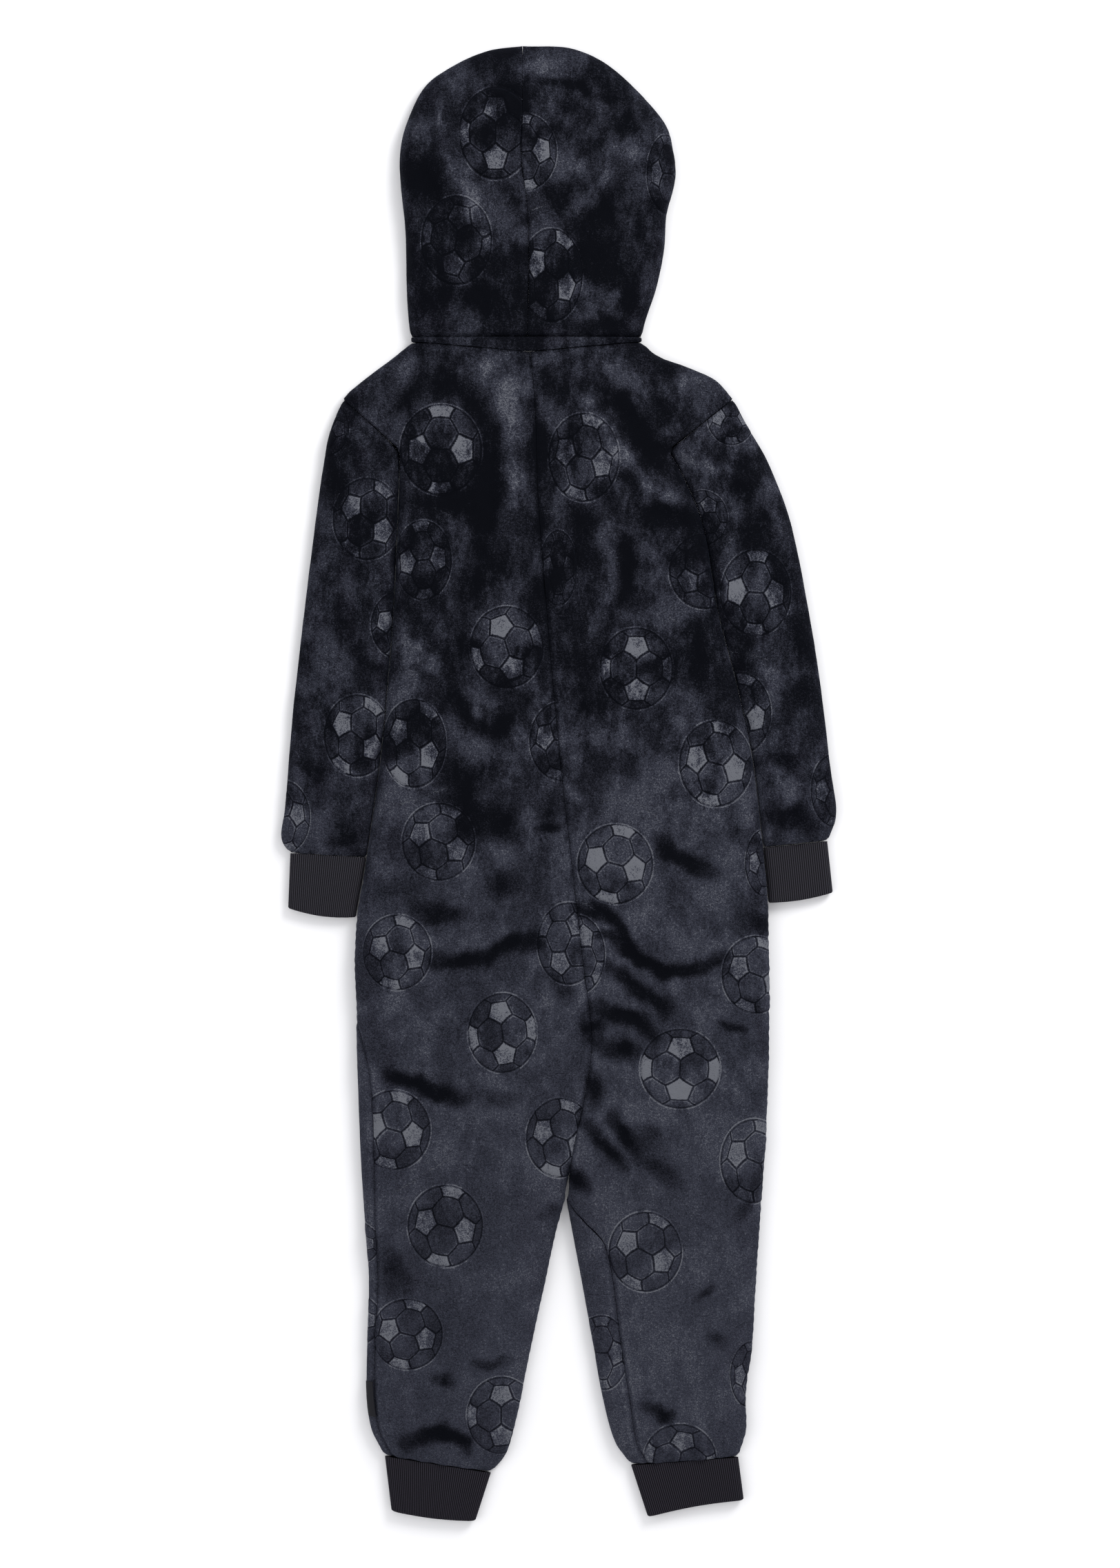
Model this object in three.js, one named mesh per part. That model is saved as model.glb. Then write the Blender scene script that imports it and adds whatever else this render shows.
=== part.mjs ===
// A child's hooded one-piece sleepsuit of plush fleece with rib-knit cuffs, laid flat on its
// front with its back up. Millimetres, +Z up, the head towards +Y. The origin is on the surface
// that it lies on, under the middle of its outline. Left and right are the wearer's, so left is -X.
import * as THREE from 'three';

// Cloth and seams
const FLEECE = 2.6; // wall of the plush fleece
const RIB = 2.0; // wall of the rib knit, between its ribs
const RIB_RELIEF = 0.7; // how far a rib stands out
const RIB_PITCH = 1.9; // from rib to rib
const SEAM = 0.3; // gap between two pieces at a seam
const CROTCH_GAP = 0.8; // half the gap where the leg seam starts across the crotch
const REST = 0.35; // gap between a piece and the one that it lies on or beside

// How the layers turn at their edges
const LIP = 6.5; // height of the edge's outermost line above the surface
const LOW_LIP = 0.32; // share of the loft that the edge's height keeps to where the cloth lies low
const TURN = 15; // width over which the upper layer turns down to that line
const CUFF_LIP = 4.2;
const CUFF_TURN = 6;
const CUFF_LOFT = 9.5;

// Levels, measured along Y
const NECK = 396; // neck seam at the corners
const NECK_DIP = 9; // how far the neck seam dips at the centre of the back
const NECK_BAND = 5; // visible band at the neck's corners, from the seam up to the hood
const SHOULDER = 345; // where the shoulder meets the sleeve
const UNDERARM = 299; // lower end of the armhole that shows
const CROTCH = -373;
const LEG_END = -610; // leg hem, on the leg's own middle line
const ZIP_TOP = 384;
const ZIP_END = -250;
const ZIP_WIDTH = 10;

// How high the upper layer lies, by level
const TRUNK_LOFT = [
  { y: 396, z: 15 }, { y: 345, z: 18 }, { y: 220, z: 21 }, { y: 60, z: 19 }, { y: -120, z: 23 },
  { y: -250, z: 22 }, { y: -373, z: 19 }, { y: -500, z: 17.5 }, { y: -585, z: 17 }, { y: -610, z: 12 },
];
const SLEEVE_LOFT = [{ y: 343, z: 16 }, { y: 250, z: 18 }, { y: 60, z: 16 }, { y: -40, z: 15.5 }, { y: -62, z: 11 }];
const HOOD_LOFT = [{ y: 662, z: 15 }, { y: 640, z: 18 }, { y: 560, z: 22 }, { y: 470, z: 20 }, { y: 400, z: 16 }];

// Outlines. The centre line is the back's middle seam, which lies in a shallow S.
const CENTRE = [
  { y: 401, x: -28 }, { y: 345, x: -22 }, { y: 258, x: -19 }, { y: 153, x: -11 }, { y: 29, x: 0 },
  { y: -70, x: 11 }, { y: -150, x: 20 }, { y: -225, x: 29 }, { y: -269, x: 25 }, { y: -330, x: 12 },
  { y: -373, x: 6 },
];
const TRUNK = {
  left: {
    side: -1,
    shoulder: [{ y: 396, x: -133 }, { y: 383, x: -148 }, { y: 366, x: -171 }, { y: 352, x: -188 }, { y: 345, x: -194 }],
    edge: [
      { y: 299, x: -143 }, { y: 264, x: -144 }, { y: 153, x: -149 }, { y: 26, x: -160 }, { y: -73, x: -174 },
      { y: -129, x: -183 }, { y: -225, x: -182 }, { y: -340, x: -178 }, { y: -399, x: -174 }, { y: -447, x: -171 },
      { y: -548, x: -173 }, { y: -585, x: -169 }, { y: -610, x: -157 },
    ],
    inner: [
      { y: -373, x: 6 }, { y: -399, x: -2 }, { y: -447, x: -13 }, { y: -504, x: -26 }, { y: -560, x: -38 },
      { y: -594, x: -48 }, { y: -610, x: -61 },
    ],
    hem: { outer: 7, inner: -8 },
  },
  right: {
    side: 1,
    shoulder: [{ y: 396, x: 74 }, { y: 383, x: 90 }, { y: 374, x: 115 }, { y: 362, x: 140 }, { y: 345, x: 156 }],
    edge: [
      { y: 299, x: 98 }, { y: 272, x: 113 }, { y: 232, x: 129 }, { y: 156, x: 142 }, { y: 94, x: 158 },
      { y: 32, x: 172 }, { y: -70, x: 184 }, { y: -123, x: 188 }, { y: -269, x: 188 }, { y: -373, x: 182 },
      { y: -447, x: 177 }, { y: -504, x: 174 }, { y: -548, x: 168 }, { y: -585, x: 168 }, { y: -610, x: 161 },
    ],
    inner: [
      { y: -373, x: 6 }, { y: -399, x: 11 }, { y: -447, x: 20 }, { y: -501, x: 30 }, { y: -551, x: 39 },
      { y: -590, x: 50 }, { y: -610, x: 64 },
    ],
    hem: { outer: 6, inner: -1 },
  },
};

// Where the front panels turn up over the edge and show on the back: width of the strip that
// shows (+), or how far the back panel turns under instead (-), by level.
const SHOWING = {
  left: {
    outer: [{ y: -215, w: 0 }, { y: -250, w: 9 }, { y: -300, w: 13 }, { y: -400, w: 9 }, { y: -480, w: 7 }, { y: -610, w: 7 }],
    inner: [{ y: -380, w: 0 }, { y: -430, w: -6 }, { y: -610, w: -6 }],
  },
  right: {
    outer: [{ y: -215, w: 0 }],
    inner: [{ y: -373, w: 0 }, { y: -382, w: 4 }, { y: -391, w: 11 }, { y: -414, w: 27 }, { y: -500, w: 25 }, { y: -560, w: 23 }, { y: -610, w: 15 }],
  },
};

const SLEEVE = {
  left: {
    outer: [[-194.3, 344.6], [-206, 314], [-213, 277], [-223, 202], [-232, 128], [-240, 54], [-246, -21], [-249, -50], [-242, -62]],
    inner: [[-143.3, 298.6], [-145.6, 264], [-150.5, 153], [-161.5, 26], [-172, -50], [-177, -66]],
  },
  right: {
    outer: [[156.3, 344.6], [168, 322], [184, 295], [193, 275], [206, 240], [222, 165], [234, 91], [243, 16], [248.1, -30], [241, -51]],
    inner: [[98.3, 298.6], [115, 271], [131, 232], [144, 156], [160, 94], [174, 32], [183.5, -30], [184, -57]],
  },
};
const CUFFS = {
  sleeve_cuff_left: { from: [[-178.5, -66.5], [-241, -62.5]], to: [[-185.5, -120], [-243, -112]], sag: 3 },
  sleeve_cuff_right: { from: [[186, -57.7], [240, -51.7]], to: [[191.5, -107], [245, -98]], sag: 2 },
  ankle_cuff_left: { from: [[-62, -618.6], [-156, -603.6]], to: [[-76, -661.8], [-150, -653]], sag: 2 },
  ankle_cuff_right: { from: [[65, -611.6], [160, -604.6]], to: [[80, -658], [165, -643]], sag: -2 },
};
const HOOD = {
  left: {
    seam: [[-29, 401], [-27, 460], [-29, 520], [-34, 560], [-33, 596]],
    outline: [
      [-133, 401], [-135, 415], [-137, 451], [-138, 496], [-142, 536], [-143, 563], [-138, 589], [-120, 626],
      [-97, 643], [-63, 658], [-33, 662],
    ],
    opening: [[-38, 401], [-60, 425], [-76, 480], [-78, 540], [-62, 585], [-33, 606]],
  },
  right: {
    seam: [[-29, 401], [-27, 460], [-29, 520], [-34, 560], [-33, 596]],
    outline: [
      [74, 401], [77, 415], [87, 445], [94, 480], [96, 510], [104, 545], [102, 567], [97, 588], [78, 613],
      [42, 646], [10, 660], [-33, 662],
    ],
    opening: [[-20, 401], [2, 425], [16, 480], [16, 540], [-2, 585], [-33, 606]],
  },
};

// The largest folds: a path over the cloth, its half width and its height, below zero for a valley
const FOLDS = [
  { part: 'trunk', path: [[-41, 357], [-47, 277], [-53, 215], [-78, 171], [-82, 134]], wide: 13, high: 3.2 },
  { part: 'trunk', path: [[-62, 339], [-60, 215], [-84, 190]], wide: 7, high: -2.4 },
  { part: 'trunk', path: [[17, 341], [40, 318], [55, 289], [75, 265], [102, 252], [124, 250]], wide: 10, high: 3.2 },
  { part: 'trunk', path: [[48, 341], [66, 318]], wide: 8, high: -2.5 },
  { part: 'trunk', path: [[133, 336], [118, 322], [102, 311], [82, 307]], wide: 8, high: 2.6 },
  { part: 'trunk', path: [[66, 219], [62, 187], [73, 165]], wide: 11, high: -3 },
  { part: 'trunk', path: [[87, 240], [120, 230]], wide: 10, high: -3 },
  { part: 'trunk', path: [[-137, 114], [-106, 100]], wide: 8, high: 2.6 },
  { part: 'trunk', path: [[-146, 122], [-117, 108]], wide: 7, high: -2.6 },
  { part: 'trunk', path: [[-80, 32], [-62, 66], [-44, 78]], wide: 10, high: -2.2 },
  { part: 'trunk', path: [[17, 129], [17, 45]], wide: 11, high: -2.6 },
  { part: 'trunk', path: [[95, -50], [135, -81]], wide: 8, high: -2.2 },
  { part: 'trunk', path: [[-118, -150], [-92, -163], [-60, -152], [-24, -138]], wide: 9, high: -3 },
  { part: 'trunk', path: [[14, -113], [41, -121], [54, -145], [76, -163], [94, -170], [135, -165], [152, -154]], wide: 8, high: -3.2 },
  { part: 'trunk', path: [[45, -169], [63, -178], [82, -193], [97, -199]], wide: 7, high: -2.4 },
  { part: 'trunk', path: [[37, -199], [57, -203], [86, -220]], wide: 7, high: -2.4 },
  { part: 'trunk', path: [[-156, -256], [-133, -269], [-104, -278], [-74, -283]], wide: 8, high: -2.6 },
  { part: 'trunk', path: [[19, -283], [35, -320], [61, -347], [79, -370]], wide: 8, high: 3.2 },
  { part: 'trunk', path: [[43, -234], [64, -242]], wide: 7, high: -2.4 },
  { part: 'trunk', path: [[45, -294], [70, -329]], wide: 7, high: -2.6 },
  { part: 'trunk', path: [[20, -302], [57, -345]], wide: 7, high: -2.2 },
  { part: 'trunk', path: [[-100, -535], [-106, -590]], wide: 8, high: -2.4 },
  { part: 'trunk', path: [[-44, -520], [-66, -596]], wide: 7, high: -2.2 },
  { part: 'trunk', path: [[90, -560], [98, -600]], wide: 7, high: -2.2 },
  { part: 'sleeve', path: [[100, 301], [131, 294], [157, 277], [175, 265], [186, 238]], wide: 11, high: 3 },
  { part: 'sleeve', path: [[-160, 280], [-176, 235], [-172, 180]], wide: 11, high: 2.4 },
  { part: 'sleeve', path: [[-190, 60], [-214, 20]], wide: 9, high: -2.2 },
  { part: 'sleeve', path: [[190, 30], [216, -10]], wide: 9, high: -2.2 },
  { part: 'hood', path: [[-129, 585], [-94, 536], [-72, 496]], wide: 13, high: 3.4 },
  { part: 'hood', path: [[-134, 560], [-112, 520], [-100, 480]], wide: 10, high: -2.6 },
  { part: 'hood', path: [[76, 569], [52, 546], [35, 505]], wide: 12, high: 3.4 },
  { part: 'hood', path: [[88, 556], [66, 525], [58, 490]], wide: 10, high: -2.6 },
];

// Rows and columns of the cloth's meshes
const ROW_STEP = { shoulder: 10, armhole: 12, trunk: 26, hem: 9 };
const COLUMNS = { back: 14, front: 9, sleeve: 16, hood: 13, band: 24 };
const SLEEVE_ROWS = 16;
const HOOD_ROWS = 15;

const FLEECE_BLACK = { color: 0x14161d, roughness: 0.9, metalness: 0 };
const CUFF_CHARCOAL = { color: 0x2b2a30, roughness: 0.95, metalness: 0 };
const CUFF_BLACK = { color: 0x17171b, roughness: 0.95, metalness: 0 };
const LABEL_SATIN = { color: 0x1b1b20, roughness: 0.5, metalness: 0 };
const ZIP_TAPE = { color: 0x101014, roughness: 0.8, metalness: 0 };
const SLIDER_METAL = { color: 0x6d6f75, roughness: 0.35, metalness: 1 };

// Plain helpers

const mix = THREE.MathUtils.lerp;
const smooth = (from, to, value) => THREE.MathUtils.smoothstep(value, Math.min(from, to), Math.max(from, to));
const fade = (from, to, value) => (from < to ? smooth(from, to, value) : 1 - smooth(from, to, value));
const vec = ([x, y]) => new THREE.Vector2(x, y);

// Eases through a table of stops, sorted by falling y, and reads the named value at a level.
function readAt(stops, y, key) {
  const last = stops.length - 1;
  if (y >= stops[0].y) return stops[0][key];
  if (y <= stops[last].y) return stops[last][key];
  let k = 0;
  while (stops[k + 1].y > y) k += 1;
  const slope = (i) => {
    const before = stops[Math.max(i - 1, 0)];
    const after = stops[Math.min(i + 1, last)];
    return (after[key] - before[key]) / (after.y - before.y);
  };
  const span = stops[k + 1].y - stops[k].y;
  const t = (y - stops[k].y) / span;
  const rise = t * t * (3 - 2 * t);
  const value = mix(stops[k][key], stops[k + 1][key], rise);
  return value + span * slope(k) * t * (1 - t) ** 2 - span * slope(k + 1) * t * t * (1 - t);
}

// A smooth line through points seen from above, read by its share of length.
function lineThrough(points) {
  const curve = new THREE.CatmullRomCurve3(points.map(([x, y]) => new THREE.Vector3(x, y, 0)), false, 'centripetal');
  curve.arcLengthDivisions = 400;
  return (share) => {
    const at = curve.getPointAt(THREE.MathUtils.clamp(share, 0, 1));
    return new THREE.Vector2(at.x, at.y);
  };
}

// Distance from a place to a path, and how far along the path the nearest point is, 0 to 1.
function nearest(path, x, y) {
  let best = Infinity;
  let share = 0;
  const legs = path.length - 1;
  for (let k = 0; k < legs; k += 1) {
    const [ax, ay] = path[k];
    const [bx, by] = path[k + 1];
    const run = (bx - ax) ** 2 + (by - ay) ** 2;
    const t = THREE.MathUtils.clamp(((x - ax) * (bx - ax) + (y - ay) * (by - ay)) / run, 0, 1);
    const gap = Math.hypot(x - mix(ax, bx, t), y - mix(ay, by, t));
    if (gap < best) {
      best = gap;
      share = (k + t) / legs;
    }
  }
  return { gap: best, share };
}

// How far the folds lift or sink the cloth at a place.
function foldHeight(part, x, y) {
  let height = 0;
  for (const fold of FOLDS) {
    if (fold.part !== part) continue;
    const { gap, share } = nearest(fold.path, x, y);
    if (gap > 3 * fold.wide) continue;
    height += fold.high * Math.exp(-((gap / fold.wide) ** 2)) * (0.35 + 0.65 * Math.sin(Math.PI * share));
  }
  return height;
}

// One cross-section of a flattened form. It runs over the top from a to b, and back under to c,
// which is a itself unless it is given. turnedA and turnedB say how far the top turns down there:
// 1 at an edge, 0 at a seam between two panels. height gives the top's level at a place.
class Section {
  constructor({ a, b, c = a, height, lip = LIP, turn = TURN, turnedA = 1, turnedB = 1, bend = null }) {
    Object.assign(this, { a, b, c, height, lip, turn, turnedA, turnedB, bend });
    this.width = a.distanceTo(b);
    this.underWidth = b.distanceTo(c);
    const spare = Math.PI / 2 - 1;
    this.topRun = this.width + (turnedA + turnedB) * turn * spare;
    this.underRun = this.underWidth + (turnedA + turnedB) * lip * spare;
    this.looped = turnedA > 0.999;
  }

  // Length of cloth from an edge's outermost line that covers a strip of this width on the top.
  clothOver(strip) {
    const turned = this.turn * (Math.PI / 2 - 1);
    if (strip >= this.turn) return strip + turned;
    return this.turn * Math.acos(1 - Math.max(strip, 0) / this.turn);
  }

  // share 0 to 1 goes over the top from a to b, and 1 to 2 back under to c.
  point(share) {
    if (this.looped && share < 0) return this.point(share + 2);
    if (this.looped && share > 2) return this.point(share - 2);
    const over = share <= 1;
    const turn = over ? this.turn : this.lip;
    const run = over ? this.topRun : this.underRun;
    const width = over ? this.width : this.underWidth;
    const fromB = over ? (1 - share) * run : (share - 1) * run;
    const fromA = run - fromB;
    const reach = (length, turned) => {
      const angle = Math.min(length / turn, Math.PI / 2);
      const curved = length > (turn * Math.PI) / 2 ? length - turn * (Math.PI / 2 - 1) : turn * (1 - Math.cos(angle));
      return { inward: mix(length, curved, turned), rise: 1 - turned * (1 - Math.sin(angle)) };
    };
    const nearA = reach(fromA, this.turnedA);
    const nearB = reach(fromB, this.turnedB);
    const inward = fromA < fromB ? nearA.inward : width - nearB.inward;
    const from = over ? this.a : this.c;
    const place = from.clone().lerp(this.b, THREE.MathUtils.clamp(inward / width, 0, 1));
    if (this.bend) place.y += this.bend(place.x, place.y);
    const rise = nearA.rise * nearB.rise;
    const top = this.height(place.x, place.y, inward / width);
    return new THREE.Vector3(place.x, place.y, over ? mix(this.lip, top, rise) : this.lip * (1 - rise));
  }
}

// Places columns between two shares, closer together where the form turns over at an edge.
function spread(from, to, count, edges, section) {
  const steps = 160;
  const sums = [0];
  const reach = (share) => (share >= 0 && share <= 1 ? section.turn : section.lip * 1.6);
  const weight = (share) => {
    const run = share <= 1 ? section.topRun : section.underRun;
    let total = 1;
    for (const edge of edges) {
      total += 2.6 * Math.exp(-((((share - edge) * run) / reach(share)) ** 2));
    }
    return total * run;
  };
  for (let k = 0; k < steps; k += 1) {
    sums.push(sums[k] + weight(mix(from, to, (k + 0.5) / steps)));
  }
  return Array.from({ length: count }, (_, j) => {
    const goal = (sums[steps] * j) / (count - 1);
    let k = 0;
    while (k < steps - 1 && sums[k + 1] < goal) k += 1;
    return mix(from, to, (k + (goal - sums[k]) / (sums[k + 1] - sums[k])) / steps);
  });
}

// A grid of points on a form, each with the direction that faces out.
function layGrid(form, rows, sharesAt, closed = false) {
  const step = 0.002;
  const rowStep = (rows[rows.length - 1] - rows[0]) * 1e-4;
  const [first, last] = [rows[0], rows[rows.length - 1]];
  const between = (v) => (first < last ? Math.min(Math.max(v, first), last) : Math.max(Math.min(v, first), last));
  let facing = 0;
  const grid = rows.map((v) => {
    const section = form(v);
    const before = form(between(v - rowStep));
    const after = form(between(v + rowStep));
    return sharesAt(v, section).map((share) => {
      const [low, high] = section.looped ? [-2, 4] : [0, 2];
      const acrossRow = section.point(Math.min(share + step, high)).sub(section.point(Math.max(share - step, low)));
      const alongRow = after.point(share).sub(before.point(share));
      const out = new THREE.Vector3().crossVectors(alongRow, acrossRow).normalize();
      const over = share >= 0 && share <= 1;
      if (!facing && Math.abs(out.z) > 0.3) facing = over ? Math.sign(out.z) : -Math.sign(out.z);
      return { at: section.point(share), out };
    });
  });
  for (const row of grid) for (const spot of row) spot.out.multiplyScalar(facing);
  return { rows: grid, closed };
}

const moved = (spot, distance) => spot.at.clone().addScaledVector(spot.out, distance);

// Closes two grids, one outside the other, into a wall. The inner one may have fewer rows, and
// fewer columns where the grid is a ring, as long as its columns divide the outer ones evenly.
function closeWall(outer, inner, closed) {
  const positions = [];
  const index = [];
  const take = (grid) => grid.map((row) => row.map((point) => positions.push(point.x, point.y, point.z) / 3 - 1));
  const skin = (ids, flip) => {
    for (let i = 0; i < ids.length - 1; i += 1) {
      const columns = closed ? ids[i].length : ids[i].length - 1;
      for (let j = 0; j < columns; j += 1) {
        const next = (j + 1) % ids[i].length;
        const [p, q, r, s] = [ids[i][j], ids[i][next], ids[i + 1][next], ids[i + 1][j]];
        const short = pointAt(p).distanceTo(pointAt(r)) <= pointAt(q).distanceTo(pointAt(s));
        const faces = short ? [[p, q, r], [p, r, s]] : [[p, q, s], [q, r, s]];
        for (const [a, b, c] of faces) index.push(a, flip ? c : b, flip ? b : c);
      }
    }
  };
  const pointAt = (id) => new THREE.Vector3().fromArray(positions, id * 3);
  const rim = (outside, inside) => {
    const ratio = (outside.length - 1) / (inside.length - 1);
    for (let k = 0; k < inside.length - 1; k += 1) {
      for (let q = k * ratio; q < (k + 1) * ratio; q += 1) index.push(outside[q + 1], outside[q], inside[k]);
      index.push(outside[(k + 1) * ratio], inside[k], inside[k + 1]);
    }
  };
  const out = take(outer);
  const back = take(inner);
  skin(out, false);
  skin(back, true);
  const wrap = (row) => (closed ? [...row, row[0]] : row);
  const ends = (ids) => [wrap(ids[0]), wrap(ids[ids.length - 1]).slice().reverse()];
  const sides = (ids) => [ids.map((row) => row[row.length - 1]), ids.map((row) => row[0]).reverse()];
  ends(out).forEach((edge, k) => rim(edge, ends(back)[k]));
  if (!closed) sides(out).forEach((edge, k) => rim(edge, sides(back)[k]));
  return orient(positions, index);
}

// Turns every face out, judged by the volume that the faces enclose.
function orient(positions, index) {
  const corner = (k) => new THREE.Vector3().fromArray(positions, index[k] * 3);
  let volume = 0;
  for (let k = 0; k < index.length; k += 3) volume += corner(k).dot(corner(k + 1).cross(corner(k + 2)));
  if (volume < 0) {
    for (let k = 0; k < index.length; k += 3) [index[k + 1], index[k + 2]] = [index[k + 2], index[k + 1]];
  }
  const geometry = new THREE.BufferGeometry();
  geometry.setAttribute('position', new THREE.Float32BufferAttribute(positions, 3));
  geometry.setIndex(index);
  geometry.computeVertexNormals();
  return geometry;
}

function named(name, geometry, finish) {
  const mesh = new THREE.Mesh(geometry, new THREE.MeshStandardMaterial(finish));
  mesh.name = name;
  return mesh;
}

function clothFrom(grid, wall, lift = 0) {
  const outer = grid.rows.map((row) => row.map((spot) => moved(spot, lift)));
  const inner = grid.rows.map((row) => row.map((spot) => moved(spot, lift - wall)));
  return closeWall(outer, inner, grid.closed);
}

// Trunk and legs

// Levels of the rows from the neck to the leg hem, closer at the shoulder, armhole and hem.
function trunkLevels() {
  const stretch = (high, low, step) => {
    const count = Math.round((high - low) / step);
    return Array.from({ length: count }, (_, k) => mix(high, low, k / count));
  };
  const hemStart = LEG_END + 3 * ROW_STEP.hem;
  return [
    ...stretch(NECK, SHOULDER, ROW_STEP.shoulder),
    ...stretch(SHOULDER, UNDERARM, ROW_STEP.armhole),
    ...stretch(UNDERARM, CROTCH, ROW_STEP.trunk),
    ...stretch(CROTCH, CROTCH - 5 * ROW_STEP.hem, ROW_STEP.hem),
    ...stretch(CROTCH - 5 * ROW_STEP.hem, hemStart, ROW_STEP.trunk),
    ...stretch(hemStart, LEG_END, ROW_STEP.hem),
    LEG_END,
  ];
}

function trunkEdge(half, y) {
  if (y > SHOULDER) return readAt(half.shoulder, y, 'x');
  const [shoulder, underarm] = [half.shoulder[half.shoulder.length - 1], half.edge[0]];
  if (y > UNDERARM) return mix(underarm.x, shoulder.x, (y - UNDERARM) / (SHOULDER - UNDERARM));
  return readAt(half.edge, y, 'x');
}

// Gathers at the leg hem: soft puckers that die out up the leg.
function hemPuckers(level, across) {
  const gathered = fade(LEG_END + 60, LEG_END + 8, level) * Math.sin(Math.PI * across);
  return 1.5 * Math.cos(across * Math.PI * 9) * gathered;
}

// The trunk half's section at a level, from the middle seam or the leg's inner edge to the side.
function trunkSection(half, level) {
  const legged = fade(CROTCH + 26, CROTCH, level);
  const dip = NECK_DIP * fade(NECK - 70, NECK, level);
  const hem = fade(CROTCH, LEG_END, level);
  const innerX = level > CROTCH ? readAt(CENTRE, level - dip, 'x') : readAt(half.inner, level, 'x');
  const apart = (half.side * SEAM * legged) / 2;
  const a = new THREE.Vector2(innerX + apart, level - dip + half.hem.inner * hem);
  const b = new THREE.Vector2(trunkEdge(half, level), level + half.hem.outer * hem);
  const sewn = fade(SHOULDER + 6, SHOULDER - 6, level) * fade(UNDERARM - 30, UNDERARM, level);
  const loft = readAt(TRUNK_LOFT, level, 'z');
  const height = (x, y, across) => {
    const crown = mix(1 - 0.14 * across ** 2, 1 - 0.14 * (2 * across - 1) ** 2, legged);
    const edgeDip = 2.2 * sewn * across ** 8;
    return loft * crown - edgeDip + foldHeight('trunk', x, y) + hemPuckers(level, across);
  };
  return new Section({ a, b, height, lip: Math.min(LIP, LOW_LIP * loft), turnedA: legged, turnedB: 1 - sewn });
}

// Half the gap at the seam inside a leg, wider where the seam crosses the crotch at a slant.
function innerGap(level) {
  const slanted = fade(CROTCH + 20, CROTCH, level) * fade(CROTCH - 50, CROTCH - 25, level);
  return mix(SEAM / 2, CROTCH_GAP, slanted);
}

// Shares of the section at which the seams between back and front lie.
function seamShares(name, section, level) {
  const shift = (edge) => {
    const strip = readAt(SHOWING[name][edge], level, 'w');
    return strip >= 0 ? section.clothOver(strip) / section.topRun : strip / section.underRun;
  };
  const inner = section.looped ? shift('inner') : 0;
  return { outer: 1 - shift('outer'), inner };
}

function backPanel(name) {
  const half = TRUNK[name];
  const grid = layGrid((level) => trunkSection(half, level), trunkLevels(), (level, section) => {
    const seam = seamShares(name, section, level);
    const gap = (section.looped ? innerGap(level) : SEAM / 2) / section.topRun;
    return spread(seam.inner + gap, seam.outer - SEAM / 2 / section.topRun, COLUMNS.back, [0, 1], section);
  });
  return named(`back_${name}`, clothFrom(grid, FLEECE), FLEECE_BLACK);
}

function frontPanel(name) {
  const half = TRUNK[name];
  const grid = layGrid((level) => trunkSection(half, level), trunkLevels(), (level, section) => {
    const seam = seamShares(name, section, level);
    const gap = (section.looped ? innerGap(level) : SEAM / 2) / section.underRun;
    const zip = (ZIP_WIDTH / 2 + SEAM / 2) * fade(ZIP_END - ROW_STEP.trunk - 4, ZIP_END - ROW_STEP.trunk, level);
    const end = 2 + seam.inner - gap - (section.looped ? 0 : zip / section.underRun);
    return spread(seam.outer + SEAM / 2 / section.underRun, end, COLUMNS.front, [1, 2], section);
  });
  return named(`front_${name}`, clothFrom(grid, FLEECE), FLEECE_BLACK);
}

// Sleeves and cuffs

function sleevePiece(name) {
  const outer = lineThrough(SLEEVE[name].outer);
  const inner = lineThrough(SLEEVE[name].inner);
  const form = (v) => {
    const [a, b] = [inner(v), outer(v)];
    const middle = (a.y + b.y) / 2;
    const loft = readAt(SLEEVE_LOFT, middle, 'z');
    const height = (x, y, across) => loft * (1 - 0.12 * (2 * across - 1) ** 2) + foldHeight('sleeve', x, y)
      + 1.1 * Math.cos(across * Math.PI * 7) * fade(0.86, 0.98, v);
    return new Section({ a, b, height });
  };
  const rows = Array.from({ length: SLEEVE_ROWS }, (_, k) => k / (SLEEVE_ROWS - 1));
  const grid = layGrid(form, rows, (v, section) => {
    const shares = spread(0, 2, COLUMNS.sleeve + 1, [0, 1, 2], section);
    return shares.slice(0, -1);
  }, true);
  return named(`sleeve_${name}`, clothFrom(grid, FLEECE), FLEECE_BLACK);
}

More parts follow.
